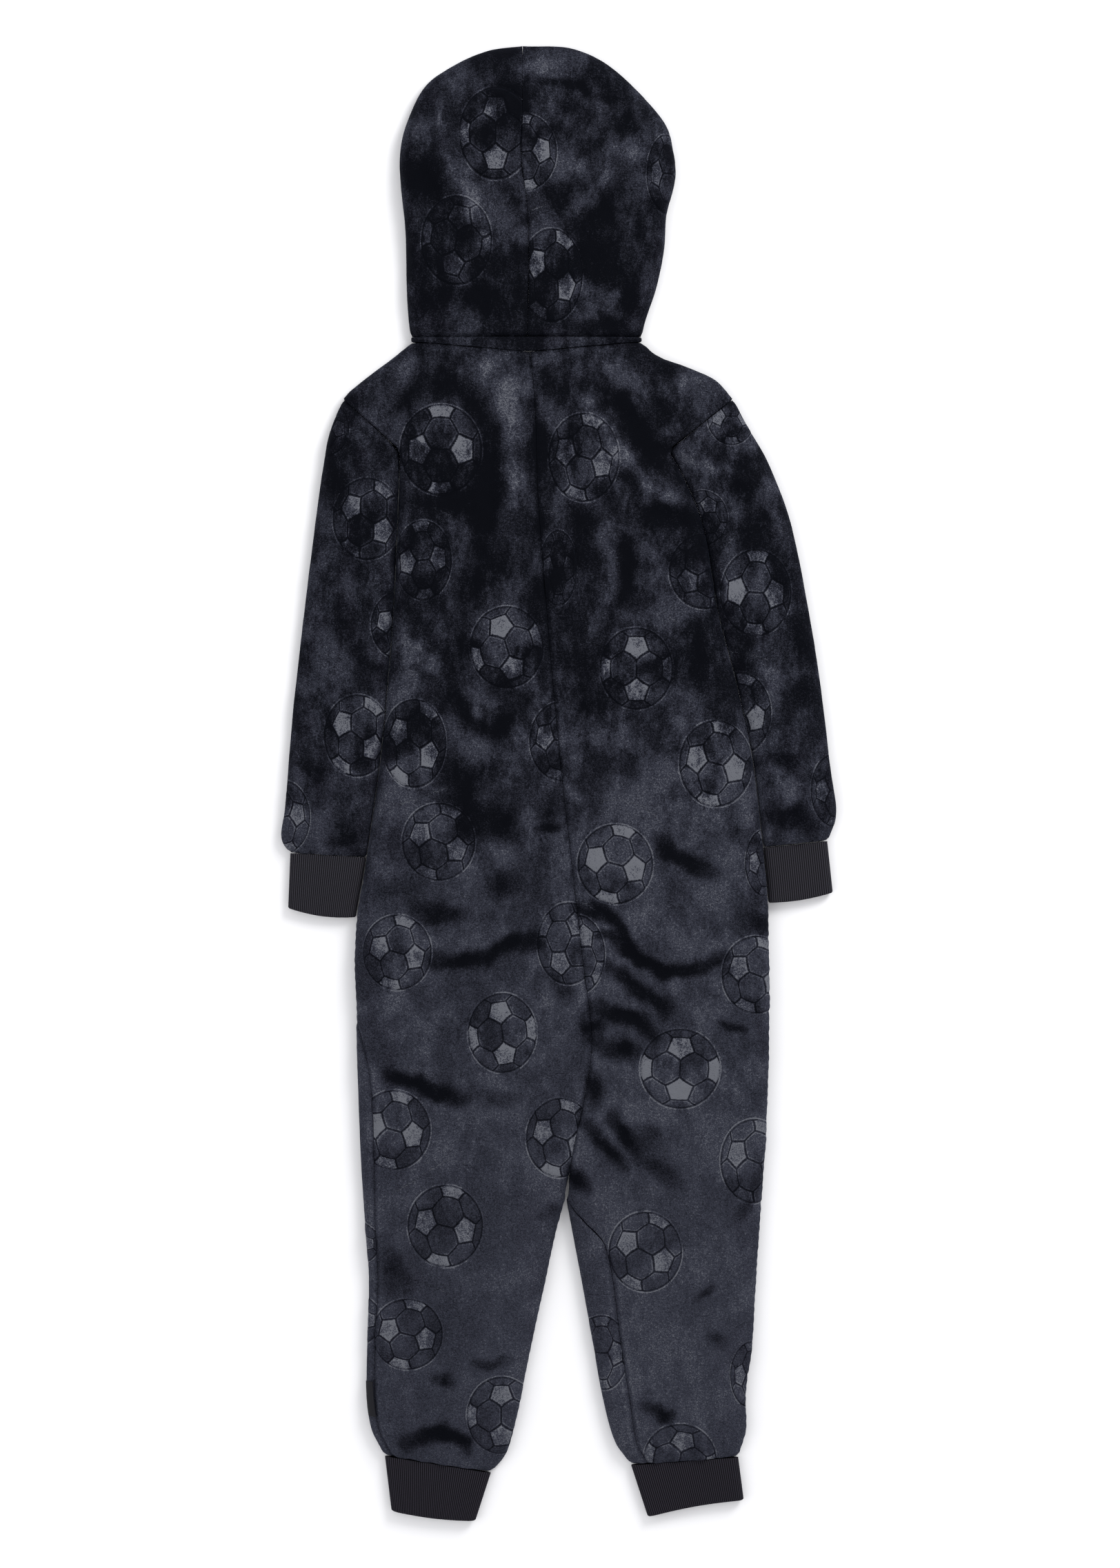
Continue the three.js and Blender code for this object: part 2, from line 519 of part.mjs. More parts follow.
// A cuff's ribs stand on its upper side. Its under side is plain where it rests.
function cuffPiece(name, finish) {
  const { from, to, sag } = CUFFS[name];
  const [fromA, fromB, toA, toB] = [...from, ...to].map(vec);
  const form = (v) => {
    const a = fromA.clone().lerp(toA, v);
    const b = fromB.clone().lerp(toB, v);
    const bend = (x) => -sag * v * Math.sin((Math.PI * (x - a.x)) / (b.x - a.x));
    const height = () => CUFF_LOFT;
    return new Section({ a, b, height, lip: CUFF_LIP, turn: CUFF_TURN, bend });
  };
  const ratio = 4; // outer columns to each column of the plain inside
  const ribColumns = ratio * Math.round((form(0).topRun * 2) / RIB_PITCH / ratio);
  const underColumns = ratio * 4;
  const turned = 0.1; // share of the under side that a quarter of its columns take at each edge
  const towardsEdges = (t) => {
    if (t > 0.5) return 1 - towardsEdges(1 - t);
    return t < 0.25 ? (t / 0.25) * turned : mix(turned, 0.5, (t - 0.25) / 0.25);
  };
  const shares = (top, under) => [
    ...Array.from({ length: top }, (_, j) => j / top),
    ...Array.from({ length: under }, (_, j) => 1 + towardsEdges(j / under)),
  ];
  const ringOf = (rowCount, top, under) => {
    const rows = Array.from({ length: rowCount }, (_, k) => k / (rowCount - 1));
    return layGrid(form, rows, () => shares(top, under), true).rows;
  };
  const outer = ringOf(3, ribColumns, underColumns).map((row) => row.map((spot, j) => {
    const raised = j < ribColumns && j % 2 === 1 ? RIB_RELIEF : 0;
    return moved(spot, raised);
  }));
  const inner = ringOf(2, ribColumns / ratio, underColumns / ratio).map((row) => row.map((spot) => moved(spot, -RIB)));
  return named(name, closeWall(outer, inner, true), finish);
}

// Hood and neck band

function hoodPiece(name) {
  const half = HOOD[name];
  const seam = lineThrough(half.seam);
  const outline = lineThrough(half.outline);
  const opening = lineThrough(half.opening);
  const side = TRUNK[name].side;
  const form = (v) => {
    const a = seam(v);
    const b = outline(v);
    const c = opening(v);
    const apart = (side * SEAM) / 2;
    for (const place of [a, b, c]) place.x += apart;
    const height = (x, y, across) => readAt(HOOD_LOFT, y, 'z') * (1 - 0.1 * across ** 2) + foldHeight('hood', x, y);
    return new Section({ a, b, c, height, turnedA: 0 });
  };
  const rows = Array.from({ length: HOOD_ROWS }, (_, k) => k / (HOOD_ROWS - 1));
  const grid = layGrid(form, rows, (v, section) => spread(0, 2, COLUMNS.hood, [1], section));
  for (const spot of grid.rows[HOOD_ROWS - 1]) spot.out.setX(0).normalize();
  return named(`hood_${name}`, clothFrom(grid, FLEECE), FLEECE_BLACK);
}

// The band runs from the zip round one neck corner, over the back, and round to the zip again.
function neckBand() {
  const [left, right] = [TRUNK.left, TRUNK.right];
  const centre = readAt(CENTRE, NECK, 'x');
  const form = (v) => {
    const y = mix(NECK + REST, NECK + NECK_BAND - REST, v);
    const a = new THREE.Vector2(mix(left.shoulder[0].x, -133, v), y);
    const b = new THREE.Vector2(mix(right.shoulder[0].x, 74, v), y);
    const bend = (x) => -(1 - v) * NECK_DIP * (x < centre ? (x - a.x) / (centre - a.x) : (b.x - x) / (b.x - centre));
    const height = (x, yAt, across) => {
      const body = readAt(TRUNK_LOFT, NECK, 'z') * (1 - 0.14 * Math.abs(2 * across - 1) ** 2);
      return body + 0.8 * Math.sin(Math.PI * v);
    };
    return new Section({ a, b, height, bend });
  };
  const grid = layGrid(form, [0, 0.5, 1], (v, section) => {
    const middle = (centre - section.a.x) / section.width;
    const zip = (ZIP_WIDTH / 2 + SEAM) / section.underRun;
    const start = -(middle - zip);
    return spread(start, 2 - middle - zip, COLUMNS.band, [0, 1], section);
  });
  return named('neck_band', clothFrom(grid, FLEECE), FLEECE_BLACK);
}

// Zip and label

const ZIP_LEVEL = 1.9; // height of the tape's face above the surface
const ZIP_TAPE_WALL = 1.2;

function frontZip() {
  const rows = [ZIP_TOP, ...trunkLevels().filter((y) => y < ZIP_TOP && y > ZIP_END), ZIP_END];
  const reach = ZIP_WIDTH / 2 - SEAM / 2;
  const layer = (z) => rows.map((y) => [-1, 0, 1].map((side) => {
    return new THREE.Vector3(readAt(CENTRE, y, 'x') + side * reach, y, z);
  }));
  return named('front_zip', closeWall(layer(ZIP_LEVEL), layer(ZIP_LEVEL + ZIP_TAPE_WALL), false), ZIP_TAPE);
}

// The slider and the short cloth pull that is folded through it, flat under the tape.
function zipSlider() {
  const outline = new THREE.Shape();
  const [body, pull, length, tail] = [4, 2.6, 11, 20];
  outline.moveTo(-body, 0);
  outline.absarc(0, 0, body, Math.PI, 0, true);
  outline.lineTo(pull, -length);
  outline.lineTo(pull, -length - tail);
  outline.lineTo(-pull, -length - tail);
  outline.lineTo(-pull, -length);
  outline.closePath();
  const depth = ZIP_LEVEL - 2 * REST;
  const geometry = new THREE.ExtrudeGeometry(outline, { depth, bevelEnabled: false, curveSegments: 8 });
  const mesh = named('zip_slider', geometry, SLIDER_METAL);
  const y = ZIP_TOP - 6;
  mesh.position.set(readAt(CENTRE, y, 'x'), y, REST);
  mesh.rotation.z = Math.atan2(readAt(CENTRE, y - length - tail, 'x') - mesh.position.x, length + tail);
  return mesh;
}

// A folded woven label that comes out of the left side seam and lies on the shin.
function sideLabel() {
  const half = TRUNK.left;
  const [top, bottom, long] = [-541, -573, 9.5];
  const rows = Array.from({ length: 5 }, (_, k) => mix(top, bottom, k / 4));
  const grid = layGrid((level) => trunkSection(half, level), rows, (level, section) => {
    const seam = seamShares('left', section, level).outer;
    const slant = (1.5 * (top - level)) / (top - bottom);
    const start = seam + (0.6 - slant) / section.topRun;
    return [0, 1, 2, 3].map((j) => start + ((j / 3) * long) / section.topRun);
  });
  return named('side_label', clothFrom(grid, 1.0, 1.0 + REST), LABEL_SATIN);
}

const onesie = new THREE.Group();
for (const name of ['left', 'right']) {
  onesie.add(backPanel(name), frontPanel(name), sleevePiece(name), hoodPiece(name));
  onesie.add(cuffPiece(`sleeve_cuff_${name}`, CUFF_CHARCOAL), cuffPiece(`ankle_cuff_${name}`, CUFF_BLACK));
}
onesie.add(neckBand(), frontZip(), zipSlider(), sideLabel());

export default onesie;
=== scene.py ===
"""A child's hooded sleepsuit of plush fleece with rib-knit cuffs, laid flat with its back up.

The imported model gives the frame. Each piece of cloth is laid again over the same cross-sections
with a fine mesh, and gets its folds, seams, embossed balls and pile. Lengths are millimetres
until a mesh is made, and left and right are the wearer's, so left is -X.
"""

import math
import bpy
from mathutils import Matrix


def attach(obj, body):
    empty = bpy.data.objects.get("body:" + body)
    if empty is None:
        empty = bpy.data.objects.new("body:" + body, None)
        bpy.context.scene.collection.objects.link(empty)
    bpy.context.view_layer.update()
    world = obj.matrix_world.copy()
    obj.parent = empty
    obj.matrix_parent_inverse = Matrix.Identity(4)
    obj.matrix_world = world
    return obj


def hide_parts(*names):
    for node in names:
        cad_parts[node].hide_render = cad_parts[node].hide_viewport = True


bl_info = {
    "name": "Plush onesie",
    "version": (1, 0, 0),
    "blender": (4, 5, 0),
    "location": "3D Viewport > Sidebar > Onesie",
    "description": "Dresses the packed sleepsuit in embossed plush, ribbed cuffs, a zip and a label",
    "category": "Object",
}

from types import SimpleNamespace

import bpy
import numpy as np
from mathutils import Vector

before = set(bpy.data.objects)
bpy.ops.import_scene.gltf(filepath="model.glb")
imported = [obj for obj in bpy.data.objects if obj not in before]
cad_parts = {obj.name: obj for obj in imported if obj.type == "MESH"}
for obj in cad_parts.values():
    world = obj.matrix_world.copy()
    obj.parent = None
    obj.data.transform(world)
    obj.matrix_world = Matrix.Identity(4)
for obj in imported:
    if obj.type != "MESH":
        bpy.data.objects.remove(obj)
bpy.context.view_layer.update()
MM = 0.001

# Cloth and seams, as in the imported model
FLEECE = 2.6
RIB = 2.0
RIB_PITCH = 1.9
SEAM = 0.3
CROTCH_GAP = 0.8
REST = 0.35
LIP = 6.5
LOW_LIP = 0.32
TURN = 15
CUFF_LIP = 4.2
CUFF_TURN = 6
CUFF_LOFT = 9.5

# Levels along Y
NECK = 396
NECK_DIP = 9
NECK_BAND = 5
SHOULDER = 345
UNDERARM = 299
CROTCH = -373
LEG_END = -610
SLEEVE_END = -66
BESIDE = 0.4  # how far the sleeves lie from the trunk
ZIP_WIDTH = 10
ZIP_FADE = (-280, -276)  # where the front halves close up again below the zip

# How high the upper layer lies: level, height
TRUNK_LOFT = [
    (396, 15), (345, 18), (220, 21), (60, 19), (-120, 23), (-250, 22), (-373, 19), (-500, 17.5),
    (-585, 17), (-610, 12),
]
SLEEVE_LOFT = [(343, 16), (250, 18), (60, 16), (-40, 15.5), (-62, 11)]
HOOD_LOFT = [(662, 15), (640, 18), (560, 22), (470, 20), (400, 16)]

# Outlines: level, x. The centre line is the back's middle seam.
CENTRE = [
    (401, -28), (345, -22), (258, -19), (153, -11), (29, 0), (-70, 11), (-150, 20), (-225, 29),
    (-269, 25), (-330, 12), (-373, 6),
]
TRUNK = {
    "left": {
        "side": -1,
        "shoulder": [(396, -133), (383, -148), (366, -171), (352, -188), (345, -194)],
        "edge": [
            (299, -143), (264, -144), (153, -149), (26, -160), (-73, -174), (-129, -183), (-225, -182),
            (-340, -178), (-399, -174), (-447, -171), (-548, -173), (-585, -169), (-610, -157),
        ],
        "inner": [(-373, 6), (-399, -2), (-447, -13), (-504, -26), (-560, -38), (-594, -48), (-610, -61)],
        "hem": (7, -8),
    },
    "right": {
        "side": 1,
        "shoulder": [(396, 74), (383, 90), (374, 115), (362, 140), (345, 156)],
        "edge": [
            (299, 98), (272, 113), (232, 129), (156, 142), (94, 158), (32, 172), (-70, 184), (-123, 188),
            (-269, 188), (-373, 182), (-447, 177), (-504, 174), (-548, 168), (-585, 168), (-610, 161),
        ],
        "inner": [(-373, 6), (-399, 11), (-447, 20), (-501, 30), (-551, 39), (-590, 50), (-610, 64)],
        "hem": (6, -1),
    },
}

# Width of the front panel's strip that shows on the back, or how far the back turns under (-):
# level, width
SHOWING = {
    "left": {
        "outer": [(-215, 0), (-250, 9), (-300, 13), (-400, 9), (-480, 7), (-610, 7)],
        "inner": [(-380, 0), (-430, -6), (-610, -6)],
    },
    "right": {
        "outer": [(-215, 0), (-610, 0)],
        "inner": [
            (-373, 0), (-382, 4), (-391, 11), (-414, 27), (-500, 25), (-560, 23), (-610, 15),
        ],
    },
}
SLEEVE = {
    "left": {
        "outer": [
            (-194.3, 344.6), (-206, 314), (-213, 277), (-223, 202), (-232, 128), (-240, 54),
            (-246, -21), (-249, -50), (-242, -62),
        ],
        "inner": [(-143.3, 298.6), (-145.6, 264), (-150.5, 153), (-161.5, 26), (-172, -50), (-177, -66)],
    },
    "right": {
        "outer": [
            (156.3, 344.6), (168, 322), (184, 295), (193, 275), (206, 240), (222, 165), (234, 91),
            (243, 16), (248.1, -30), (241, -51),
        ],
        "inner": [
            (98.3, 298.6), (115, 271), (131, 232), (144, 156), (160, 94), (174, 32), (183.5, -30),
            (184, -57),
        ],
    },
}
# Corners at the sleeve or leg, corners at the open end, and how far the rows of ribs sag
CUFFS = {
    "sleeve_cuff_left": ([(-178.5, -66.5), (-241, -62.5)], [(-185.5, -120), (-243, -112)], 3),
    "sleeve_cuff_right": ([(186, -57.7), (240, -51.7)], [(191.5, -107), (245, -98)], 2),
    "ankle_cuff_left": ([(-62, -618.6), (-156, -603.6)], [(-76, -661.8), (-150, -653)], 2),
    "ankle_cuff_right": ([(65, -611.6), (160, -604.6)], [(80, -658), (165, -643)], -2),
}
HOOD_SEAM = [(-29, 401), (-27, 460), (-29, 520), (-34, 560), (-33, 596)]
HOOD = {
    "left": {
        "outline": [
            (-133, 401), (-135, 415), (-137, 451), (-138, 496), (-142, 536), (-143, 563), (-138, 589),
            (-120, 626), (-97, 643), (-63, 658), (-33, 662),
        ],
        "opening": [(-38, 401), (-60, 425), (-76, 480), (-78, 540), (-62, 585), (-33, 606)],
    },
    "right": {
        "outline": [
            (74, 401), (77, 415), (87, 445), (94, 480), (96, 510), (104, 545), (102, 567), (97, 588),
            (78, 613), (42, 646), (10, 660), (-33, 662),
        ],
        "opening": [(-20, 401), (2, 425), (16, 480), (16, 540), (-2, 585), (-33, 606)],
    },
}

# Folds on each form: path, half width, height (below zero for a valley)
FOLDS = {
    "trunk": [
        ([(-41, 357), (-47, 277), (-53, 215), (-78, 171), (-82, 134)], 13, 3.2),
        ([(-62, 339), (-60, 215), (-84, 190)], 7, -2.4),
        ([(17, 341), (40, 318), (55, 289), (75, 265), (102, 252), (124, 250)], 10, 3.2),
        ([(48, 341), (66, 318)], 8, -2.5),
        ([(133, 336), (118, 322), (102, 311), (82, 307)], 8, 2.6),
        ([(66, 219), (62, 187), (73, 165)], 11, -3),
        ([(87, 240), (120, 230)], 10, -3),
        ([(-137, 114), (-106, 100)], 8, 2.6),
        ([(-146, 122), (-117, 108)], 7, -2.6),
        ([(-80, 32), (-62, 66), (-44, 78)], 10, -2.2),
        ([(17, 129), (17, 45)], 11, -2.6),
        ([(95, -50), (135, -81)], 8, -2.2),
        ([(-118, -150), (-92, -163), (-60, -152), (-24, -138)], 9, -3),
        ([(14, -113), (41, -121), (54, -145), (76, -163), (94, -170), (135, -165), (152, -154)], 8, -3.2),
        ([(45, -169), (63, -178), (82, -193), (97, -199)], 7, -2.4),
        ([(37, -199), (57, -203), (86, -220)], 7, -2.4),
        ([(-156, -256), (-133, -269), (-104, -278), (-74, -283)], 8, -2.6),
        ([(19, -283), (35, -320), (61, -347), (79, -370)], 8, 3.2),
        ([(43, -234), (64, -242)], 7, -2.4),
        ([(45, -294), (70, -329)], 7, -2.6),
        ([(20, -302), (57, -345)], 7, -2.2),
        ([(-100, -535), (-106, -590)], 8, -2.4),
        ([(-44, -520), (-66, -596)], 7, -2.2),
        ([(90, -560), (98, -600)], 7, -2.2),
    ],
    "sleeve": [
        ([(100, 301), (131, 294), (157, 277), (175, 265), (186, 238)], 11, 3),
        ([(-160, 280), (-176, 235), (-172, 180)], 11, 2.4),
        ([(-190, 60), (-214, 20)], 9, -2.2),
        ([(190, 30), (216, -10)], 9, -2.2),
    ],
    "hood": [
        ([(-129, 585), (-94, 536), (-72, 496)], 13, 3.4),
        ([(-134, 560), (-112, 520), (-100, 480)], 10, -2.6),
        ([(76, 569), (52, 546), (35, 505)], 12, 3.4),
        ([(88, 556), (66, 525), (58, 490)], 10, -2.6),
    ],
}

# Embossed balls that show on each piece: centre x, y, half width, half height, turn of the line
# through the ball's two middle pentagons, and how light its shorn patches look, partly a painted highlight
BALLS = {
    "hood_left": [(-57, 582, 33, 42, 90, 0.8), (-92, 486, 32, 40, 78, 0.35)],
    "hood_right": [(-31, 565, 29, 35, 5, 1.0), (-7, 455, 28, 42, -28, 1.0), (97, 546, 19, 36, 0, 0.4)],
    "sleeve_left": [
        (-208, 318, 20, 24, 0, 0.5), (-172, 237, 31, 37, -33, 0.6), (-142, 142, 27, 31, -12, 0.6),
        (-181, 43, 30, 37, -33, 0.9), (-247, -30, 24, 33, 10, 0.5),
    ],
    "sleeve_right": [
        (154, 329, 22, 26, 0, 0.5), (128, 238, 23, 25, 60, 0.5), (176, 171, 32, 39, -3, 1.0),
        (162, 63, 28, 37, -12, 0.9), (247, -6, 22, 33, 0, 0.5),
    ],
    "back_left": [
        (-106, 299, 37, 41, 0, 1.0), (-122, 200, 26, 36, 5, 0.6), (-47, 122, 33, 37, 108, 0.8),
        (-130, 36, 29, 40, -30, 0.9), (2, 38, 29, 36, -12, 0.5), (-108, -52, 33, 35, -22, 0.6),
        (-145, -151, 31, 34, -14, 0.6), (8, -143, 28, 37, 60, 0.4), (-51, -223, 31, 36, 98, 0.9),
        (-148, -310, 33, 36, -14, 0.9), (1, -317, 31, 36, -18, 0.8), (-102, -396, 34, 37, -12, 0.8),
        (-136, -493, 32, 32, -14, 0.7), (-52, -566, 31, 35, 90, 0.6),
    ],
    "back_right": [
        (22, 292, 32, 40, -15, 0.6), (130, 190, 32, 34, 30, 0.35), (-1, 193, 17, 34, 0, 0.3),
        (69, 103, 33, 37, 90, 0.9), (140, 18, 33, 39, -13, 0.9), (50, -72, 34, 36, -14, 1.1),
        (184, -71, 18, 30, 0, 0.6), (16, -153, 25, 36, 60, 0.4), (176, -171, 31, 35, -20, 0.7),
        (108, -255, 36, 36, 88, 1.0), (174, -338, 30, 38, -20, 0.35), (77, -419, 33, 36, -25, 0.5),
        (172, -530, 19, 30, 0, 0.5), (108, -606, 33, 33, 80, 0.6),
    ],
    "front_left": [(-183, -412, 22, 20, 0, 0.5), (-184, -481, 24, 24, 0, 0.5)],
    "front_right": [(38, -510, 24, 34, 0, 0.3)],
}

# How the pile was brushed on each form, with painted shade along the folds' valleys and painted highlights
# along their ridges: path, half width, tone (above zero catches more light)
BRUSHED_PILE_AND_FOLD_SHADING = {
    "trunk": [
        ([(-70, 372), (-48, 350), (-43, 300), (-45, 255), (-50, 225), (-60, 200)], 15, 0.3),
        ([(-74, 368), (-64, 366)], 12, 0.2),
        ([(-141, 346), (-115, 357), (-85, 357), (-63, 320), (-60, 263), (-72, 217), (-80, 158)], 11, -0.34),
        ([(-126, 252), (-98, 251), (-72, 247)], 11, -0.32),
        ([(-27, 341), (-20, 318), (-21, 292), (-17, 260), (-16, 232)], 7, -0.26),
        ([(19, 341), (38, 322), (58, 289), (84, 260), (107, 251)], 6, 0.42),
        ([(33, 370), (75, 370)], 12, 0.22),
        ([(71, 345), (81, 328)], 9, 0.2),
        ([(46, 358), (58, 338), (70, 315), (92, 292), (112, 266)], 9, -0.34),
        ([(84, 237), (112, 243), (130, 230)], 12, -0.3),
        ([(61, 214), (63, 191), (59, 165), (71, 158)], 8, -0.36),
        ([(16, 247), (22, 234), (14, 214)], 12, -0.3),
        ([(32, 246), (39, 230), (74, 237)], 8, 0.14),
        ([(81, 305), (91, 312), (104, 317)], 5, 0.26),
        ([(100, 357), (120, 364)], 8, 0.2),
        ([(-155, 366), (-128, 372)], 8, 0.14),
        ([(-147, 129), (-125, 117), (-112, 101)], 7, 0.28),
        ([(-93, 149), (-86, 132), (-90, 106)], 9, -0.26),
        ([(25, 88), (20, 62)], 20, -0.28),
        ([(123, 132), (120, 93)], 12, -0.2),
        ([(-56, 198), (-59, 178)], 15, -0.16),
        ([(-14, 182), (-12, 172)], 9, -0.24),
        ([(-92, 73), (-79, 54), (-59, 47), (-46, 60), (-33, 73)], 8, -0.36),
        ([(-74, 72), (-68, 68)], 8, 0.18),
        ([(-115, 54), (-105, 28), (-92, 2), (-82, -28), (-76, -46)], 12, -0.34),
        ([(-74, 15), (-68, 14)], 10, -0.2),
        ([(-56, -34), (-44, -41)], 12, -0.38),
        ([(-12, -26), (-9, -32)], 8, -0.2),
        ([(-18, -42), (-4, -39)], 4, -0.42),
        ([(91, -50), (104, -63), (120, -73), (136, -80)], 7, -0.46),
        ([(150, -41), (176, -50)], 6, -0.16),
        ([(170, -125), (186, -129)], 7, -0.28),
        ([(-124, -116), (-85, -119)], 8, -0.28),
        ([(-59, -90), (-46, -93)], 10, -0.2),
        ([(-115, -155), (-92, -161), (-66, -155), (-43, -145), (-18, -138)], 7, -0.42),
        ([(-110, -138), (-70, -134), (-30, -122)], 9, 0.1),
        ([
            (12, -112), (32, -112), (48, -122), (58, -139), (71, -158), (97, -168), (130, -163), (150, -155),
        ], 6, -0.46),
        ([(32, -134), (44, -138), (57, -152)], 4, -0.34),
        ([(45, -165), (58, -174), (81, -191), (97, -201)], 6, -0.42),
        ([(35, -201), (55, -207), (71, -214), (84, -223)], 7, -0.5),
        ([(25, -213), (29, -224)], 9, -0.5),
        ([(-1, -178), (6, -191)], 8, -0.26),
        ([(8, -150), (22, -158)], 12, -0.18),
        ([(38, -233), (55, -238), (68, -246)], 7, -0.36),
        ([(-94, -216), (-88, -218)], 12, -0.14),
        ([(143, -215), (166, -219)], 3, -0.26),
        ([(-151, -260), (-135, -266), (-112, -276), (-89, -282)], 7, -0.5),
        ([(-70, -282), (-37, -282)], 7, -0.14),
        ([(31, -262), (29, -282)], 8, -0.34),
        ([(47, -300), (60, -316), (68, -325)], 6, -0.46),
        ([(25, -302), (41, -328), (57, -341)], 5, -0.36),
        ([(77, -334), (100, -357)], 8, -0.28),
        ([(77, -315), (94, -321)], 8, -0.14),
        ([(9, -344), (22, -360)], 6, -0.38),
        ([(178, -351), (162, -384)], 5, -0.2),
        ([(-158, -413), (-148, -436), (-144, -452)], 9, -0.22),
        ([(-11, -387), (-4, -380)], 5, -0.18),
        ([(126, -462), (139, -452)], 3, -0.26),
        ([(136, -494), (146, -501)], 5, -0.22),
        ([(-79, -520), (-43, -517)], 4, -0.22),
        ([(-105, -534), (-99, -535)], 5, -0.32),
        ([(-138, -594), (-118, -583), (-102, -581), (-86, -589), (-84, -597)], 6, -0.42),
        ([(80, -559), (100, -566)], 5, -0.4),
        ([(-112, -410), (-110, -500), (-106, -600)], 55, -0.05),
    ],
    "sleeve": [
        ([(-175, 305), (-157, 268)], 13, 0.24),
        ([(-206, 302), (-209, 282), (-193, 279)], 12, -0.18),
        ([(110, 292), (153, 282), (172, 269), (184, 243)], 6, 0.34),
        ([(146, 290), (165, 273), (178, 250), (168, 215)], 9, -0.28),
        ([(128, 333), (138, 328)], 9, 0.34),
        ([(169, 126), (166, 113)], 14, -0.24),
        ([(186, 119), (189, 87)], 6, 0.2),
        ([(221, 139), (221, 74)], 9, -0.12),
        ([(-190, -42), (-185, -58)], 13, -0.34),
        ([(-216, 15), (-219, 5)], 9, -0.16),
        ([(188, -8), (196, -28), (215, -31), (229, -46)], 9, -0.3),
        ([(186, 21), (218, 24)], 8, -0.18),
    ],
    "hood": [
        ([(-78, 646), (-43, 653)], 13, -0.24),
        ([(-114, 608), (-95, 632)], 11, 0.2),
        ([(-109, 599), (-95, 563), (-78, 522), (-67, 489)], 10, 0.26),
        ([(-136, 551), (-117, 537), (-102, 527)], 13, -0.28),
        ([(-136, 503), (-136, 456)], 11, -0.2),
        ([(-45, 623), (-38, 608), (-54, 592), (-71, 577)], 9, -0.26),
        ([(-21, 644), (-2, 642)], 10, 0.22),
        ([(-26, 630), (-2, 627), (22, 624), (42, 612)], 4, -0.24),
        ([(3, 551), (27, 554), (41, 537), (31, 508)], 12, 0.2),
        ([(-16, 522), (3, 527), (17, 534)], 8, -0.24),
        ([(58, 551), (53, 537), (41, 513), (22, 501)], 9, -0.3),
        ([(53, 570), (74, 565)], 9, 0.22),
        ([(48, 623), (60, 592), (53, 580)], 13, -0.18),
        ([(17, 468), (41, 460)], 17, -0.14),
        ([(27, 439), (17, 427)], 13, 0.16),
        ([(-114, 437), (-66, 437), (-43, 432)], 14, -0.24),
        ([(-129, 416), (-127, 410)], 9, 0.24),
        ([(-46, 419), (-43, 416)], 7, 0.14),
        ([(-7, 413), (53, 408)], 7, -0.28),
        ([(65, 456), (65, 408)], 8, -0.18),
        ([(84, 456), (74, 413)], 7, 0.24),
        ([(65, 515), (84, 503)], 15, -0.14),
    ],
}


# Plain helpers

def linear(hex_colour):
    """An sRGB hex colour as linear RGBA."""
    channels = [int(hex_colour[k:k + 2], 16) / 255 for k in (0, 2, 4)]
    return [c / 12.92 if c <= 0.04045 else ((c + 0.055) / 1.055) ** 2.4 for c in channels] + [1.0]


def mix(a, b, t):
    return a + (b - a) * t


def fade(start, end, value):
    """0 at start, 1 at end and smooth between, whichever of them is larger."""
    t = np.clip((value - start) / (end - start), 0, 1)
    return t * t * (3 - 2 * t)


def read_at(stops, level):
    """Eases through (level, value) stops that are sorted by falling level."""
    levels, values = np.array(stops, float)[::-1].T
    count = len(levels)
    before = np.maximum(np.arange(count) - 1, 0)
    after = np.minimum(np.arange(count) + 1, count - 1)
    slopes = (values[after] - values[before]) / (levels[after] - levels[before])
    level = np.clip(level, levels[0], levels[-1])
    k = np.clip(np.searchsorted(levels, level, side="right") - 1, 0, count - 2)
    span = levels[k + 1] - levels[k]
    t = (level - levels[k]) / span
    value = mix(values[k], values[k + 1], t * t * (3 - 2 * t))
    return value + span * (slopes[k] * t * (1 - t) ** 2 - slopes[k + 1] * t * t * (1 - t))


def line_through(points, shares):
    """A smooth line through points, read at shares of its length."""
    points = np.array(points, float)
    padded = np.vstack([2 * points[0] - points[1], points, 2 * points[-1] - points[-2]])
    t = np.linspace(0, 1, 41)[:, None]
    pieces = []
    for p0, p1, p2, p3 in zip(padded, padded[1:], padded[2:], padded[3:]):
        d0, d1, d2 = (math.sqrt(np.linalg.norm(q - p)) for p, q in ((p0, p1), (p1, p2), (p2, p3)))
        start = ((p1 - p0) / d0 - (p2 - p0) / (d0 + d1) + (p2 - p1) / d1) * d1
        end = ((p2 - p1) / d1 - (p3 - p1) / (d1 + d2) + (p3 - p2) / d2) * d1
        cubic = 2 * p1 - 2 * p2 + start + end
        square = -3 * p1 + 3 * p2 - 2 * start - end
        pieces.append(p1 + start * t + square * t ** 2 + cubic * t ** 3)
    line = np.vstack([piece[:-1] for piece in pieces] + [pieces[-1][-1:]])
    run = np.concatenate([[0], np.cumsum(np.linalg.norm(np.diff(line, axis=0), axis=1))])
    goal = np.asarray(shares) * run[-1]
    return np.stack([np.interp(goal, run, line[:, k]) for k in (0, 1)], axis=-1)


def nearest(path, x, y):
    """Distance from places to a path, and the share along the path of the nearest point."""
    best = np.full(np.shape(x), np.inf)
    share = np.zeros(np.shape(x))
    legs = len(path) - 1
    for k, ((ax, ay), (bx, by)) in enumerate(zip(path, path[1:])):
        run = (bx - ax) ** 2 + (by - ay) ** 2
        t = np.clip(((x - ax) * (bx - ax) + (y - ay) * (by - ay)) / run, 0, 1)
        gap = np.hypot(x - mix(ax, bx, t), y - mix(ay, by, t))
        closer = gap < best
        best = np.where(closer, gap, best)
        share = np.where(closer, (k + t) / legs, share)
    return best, share


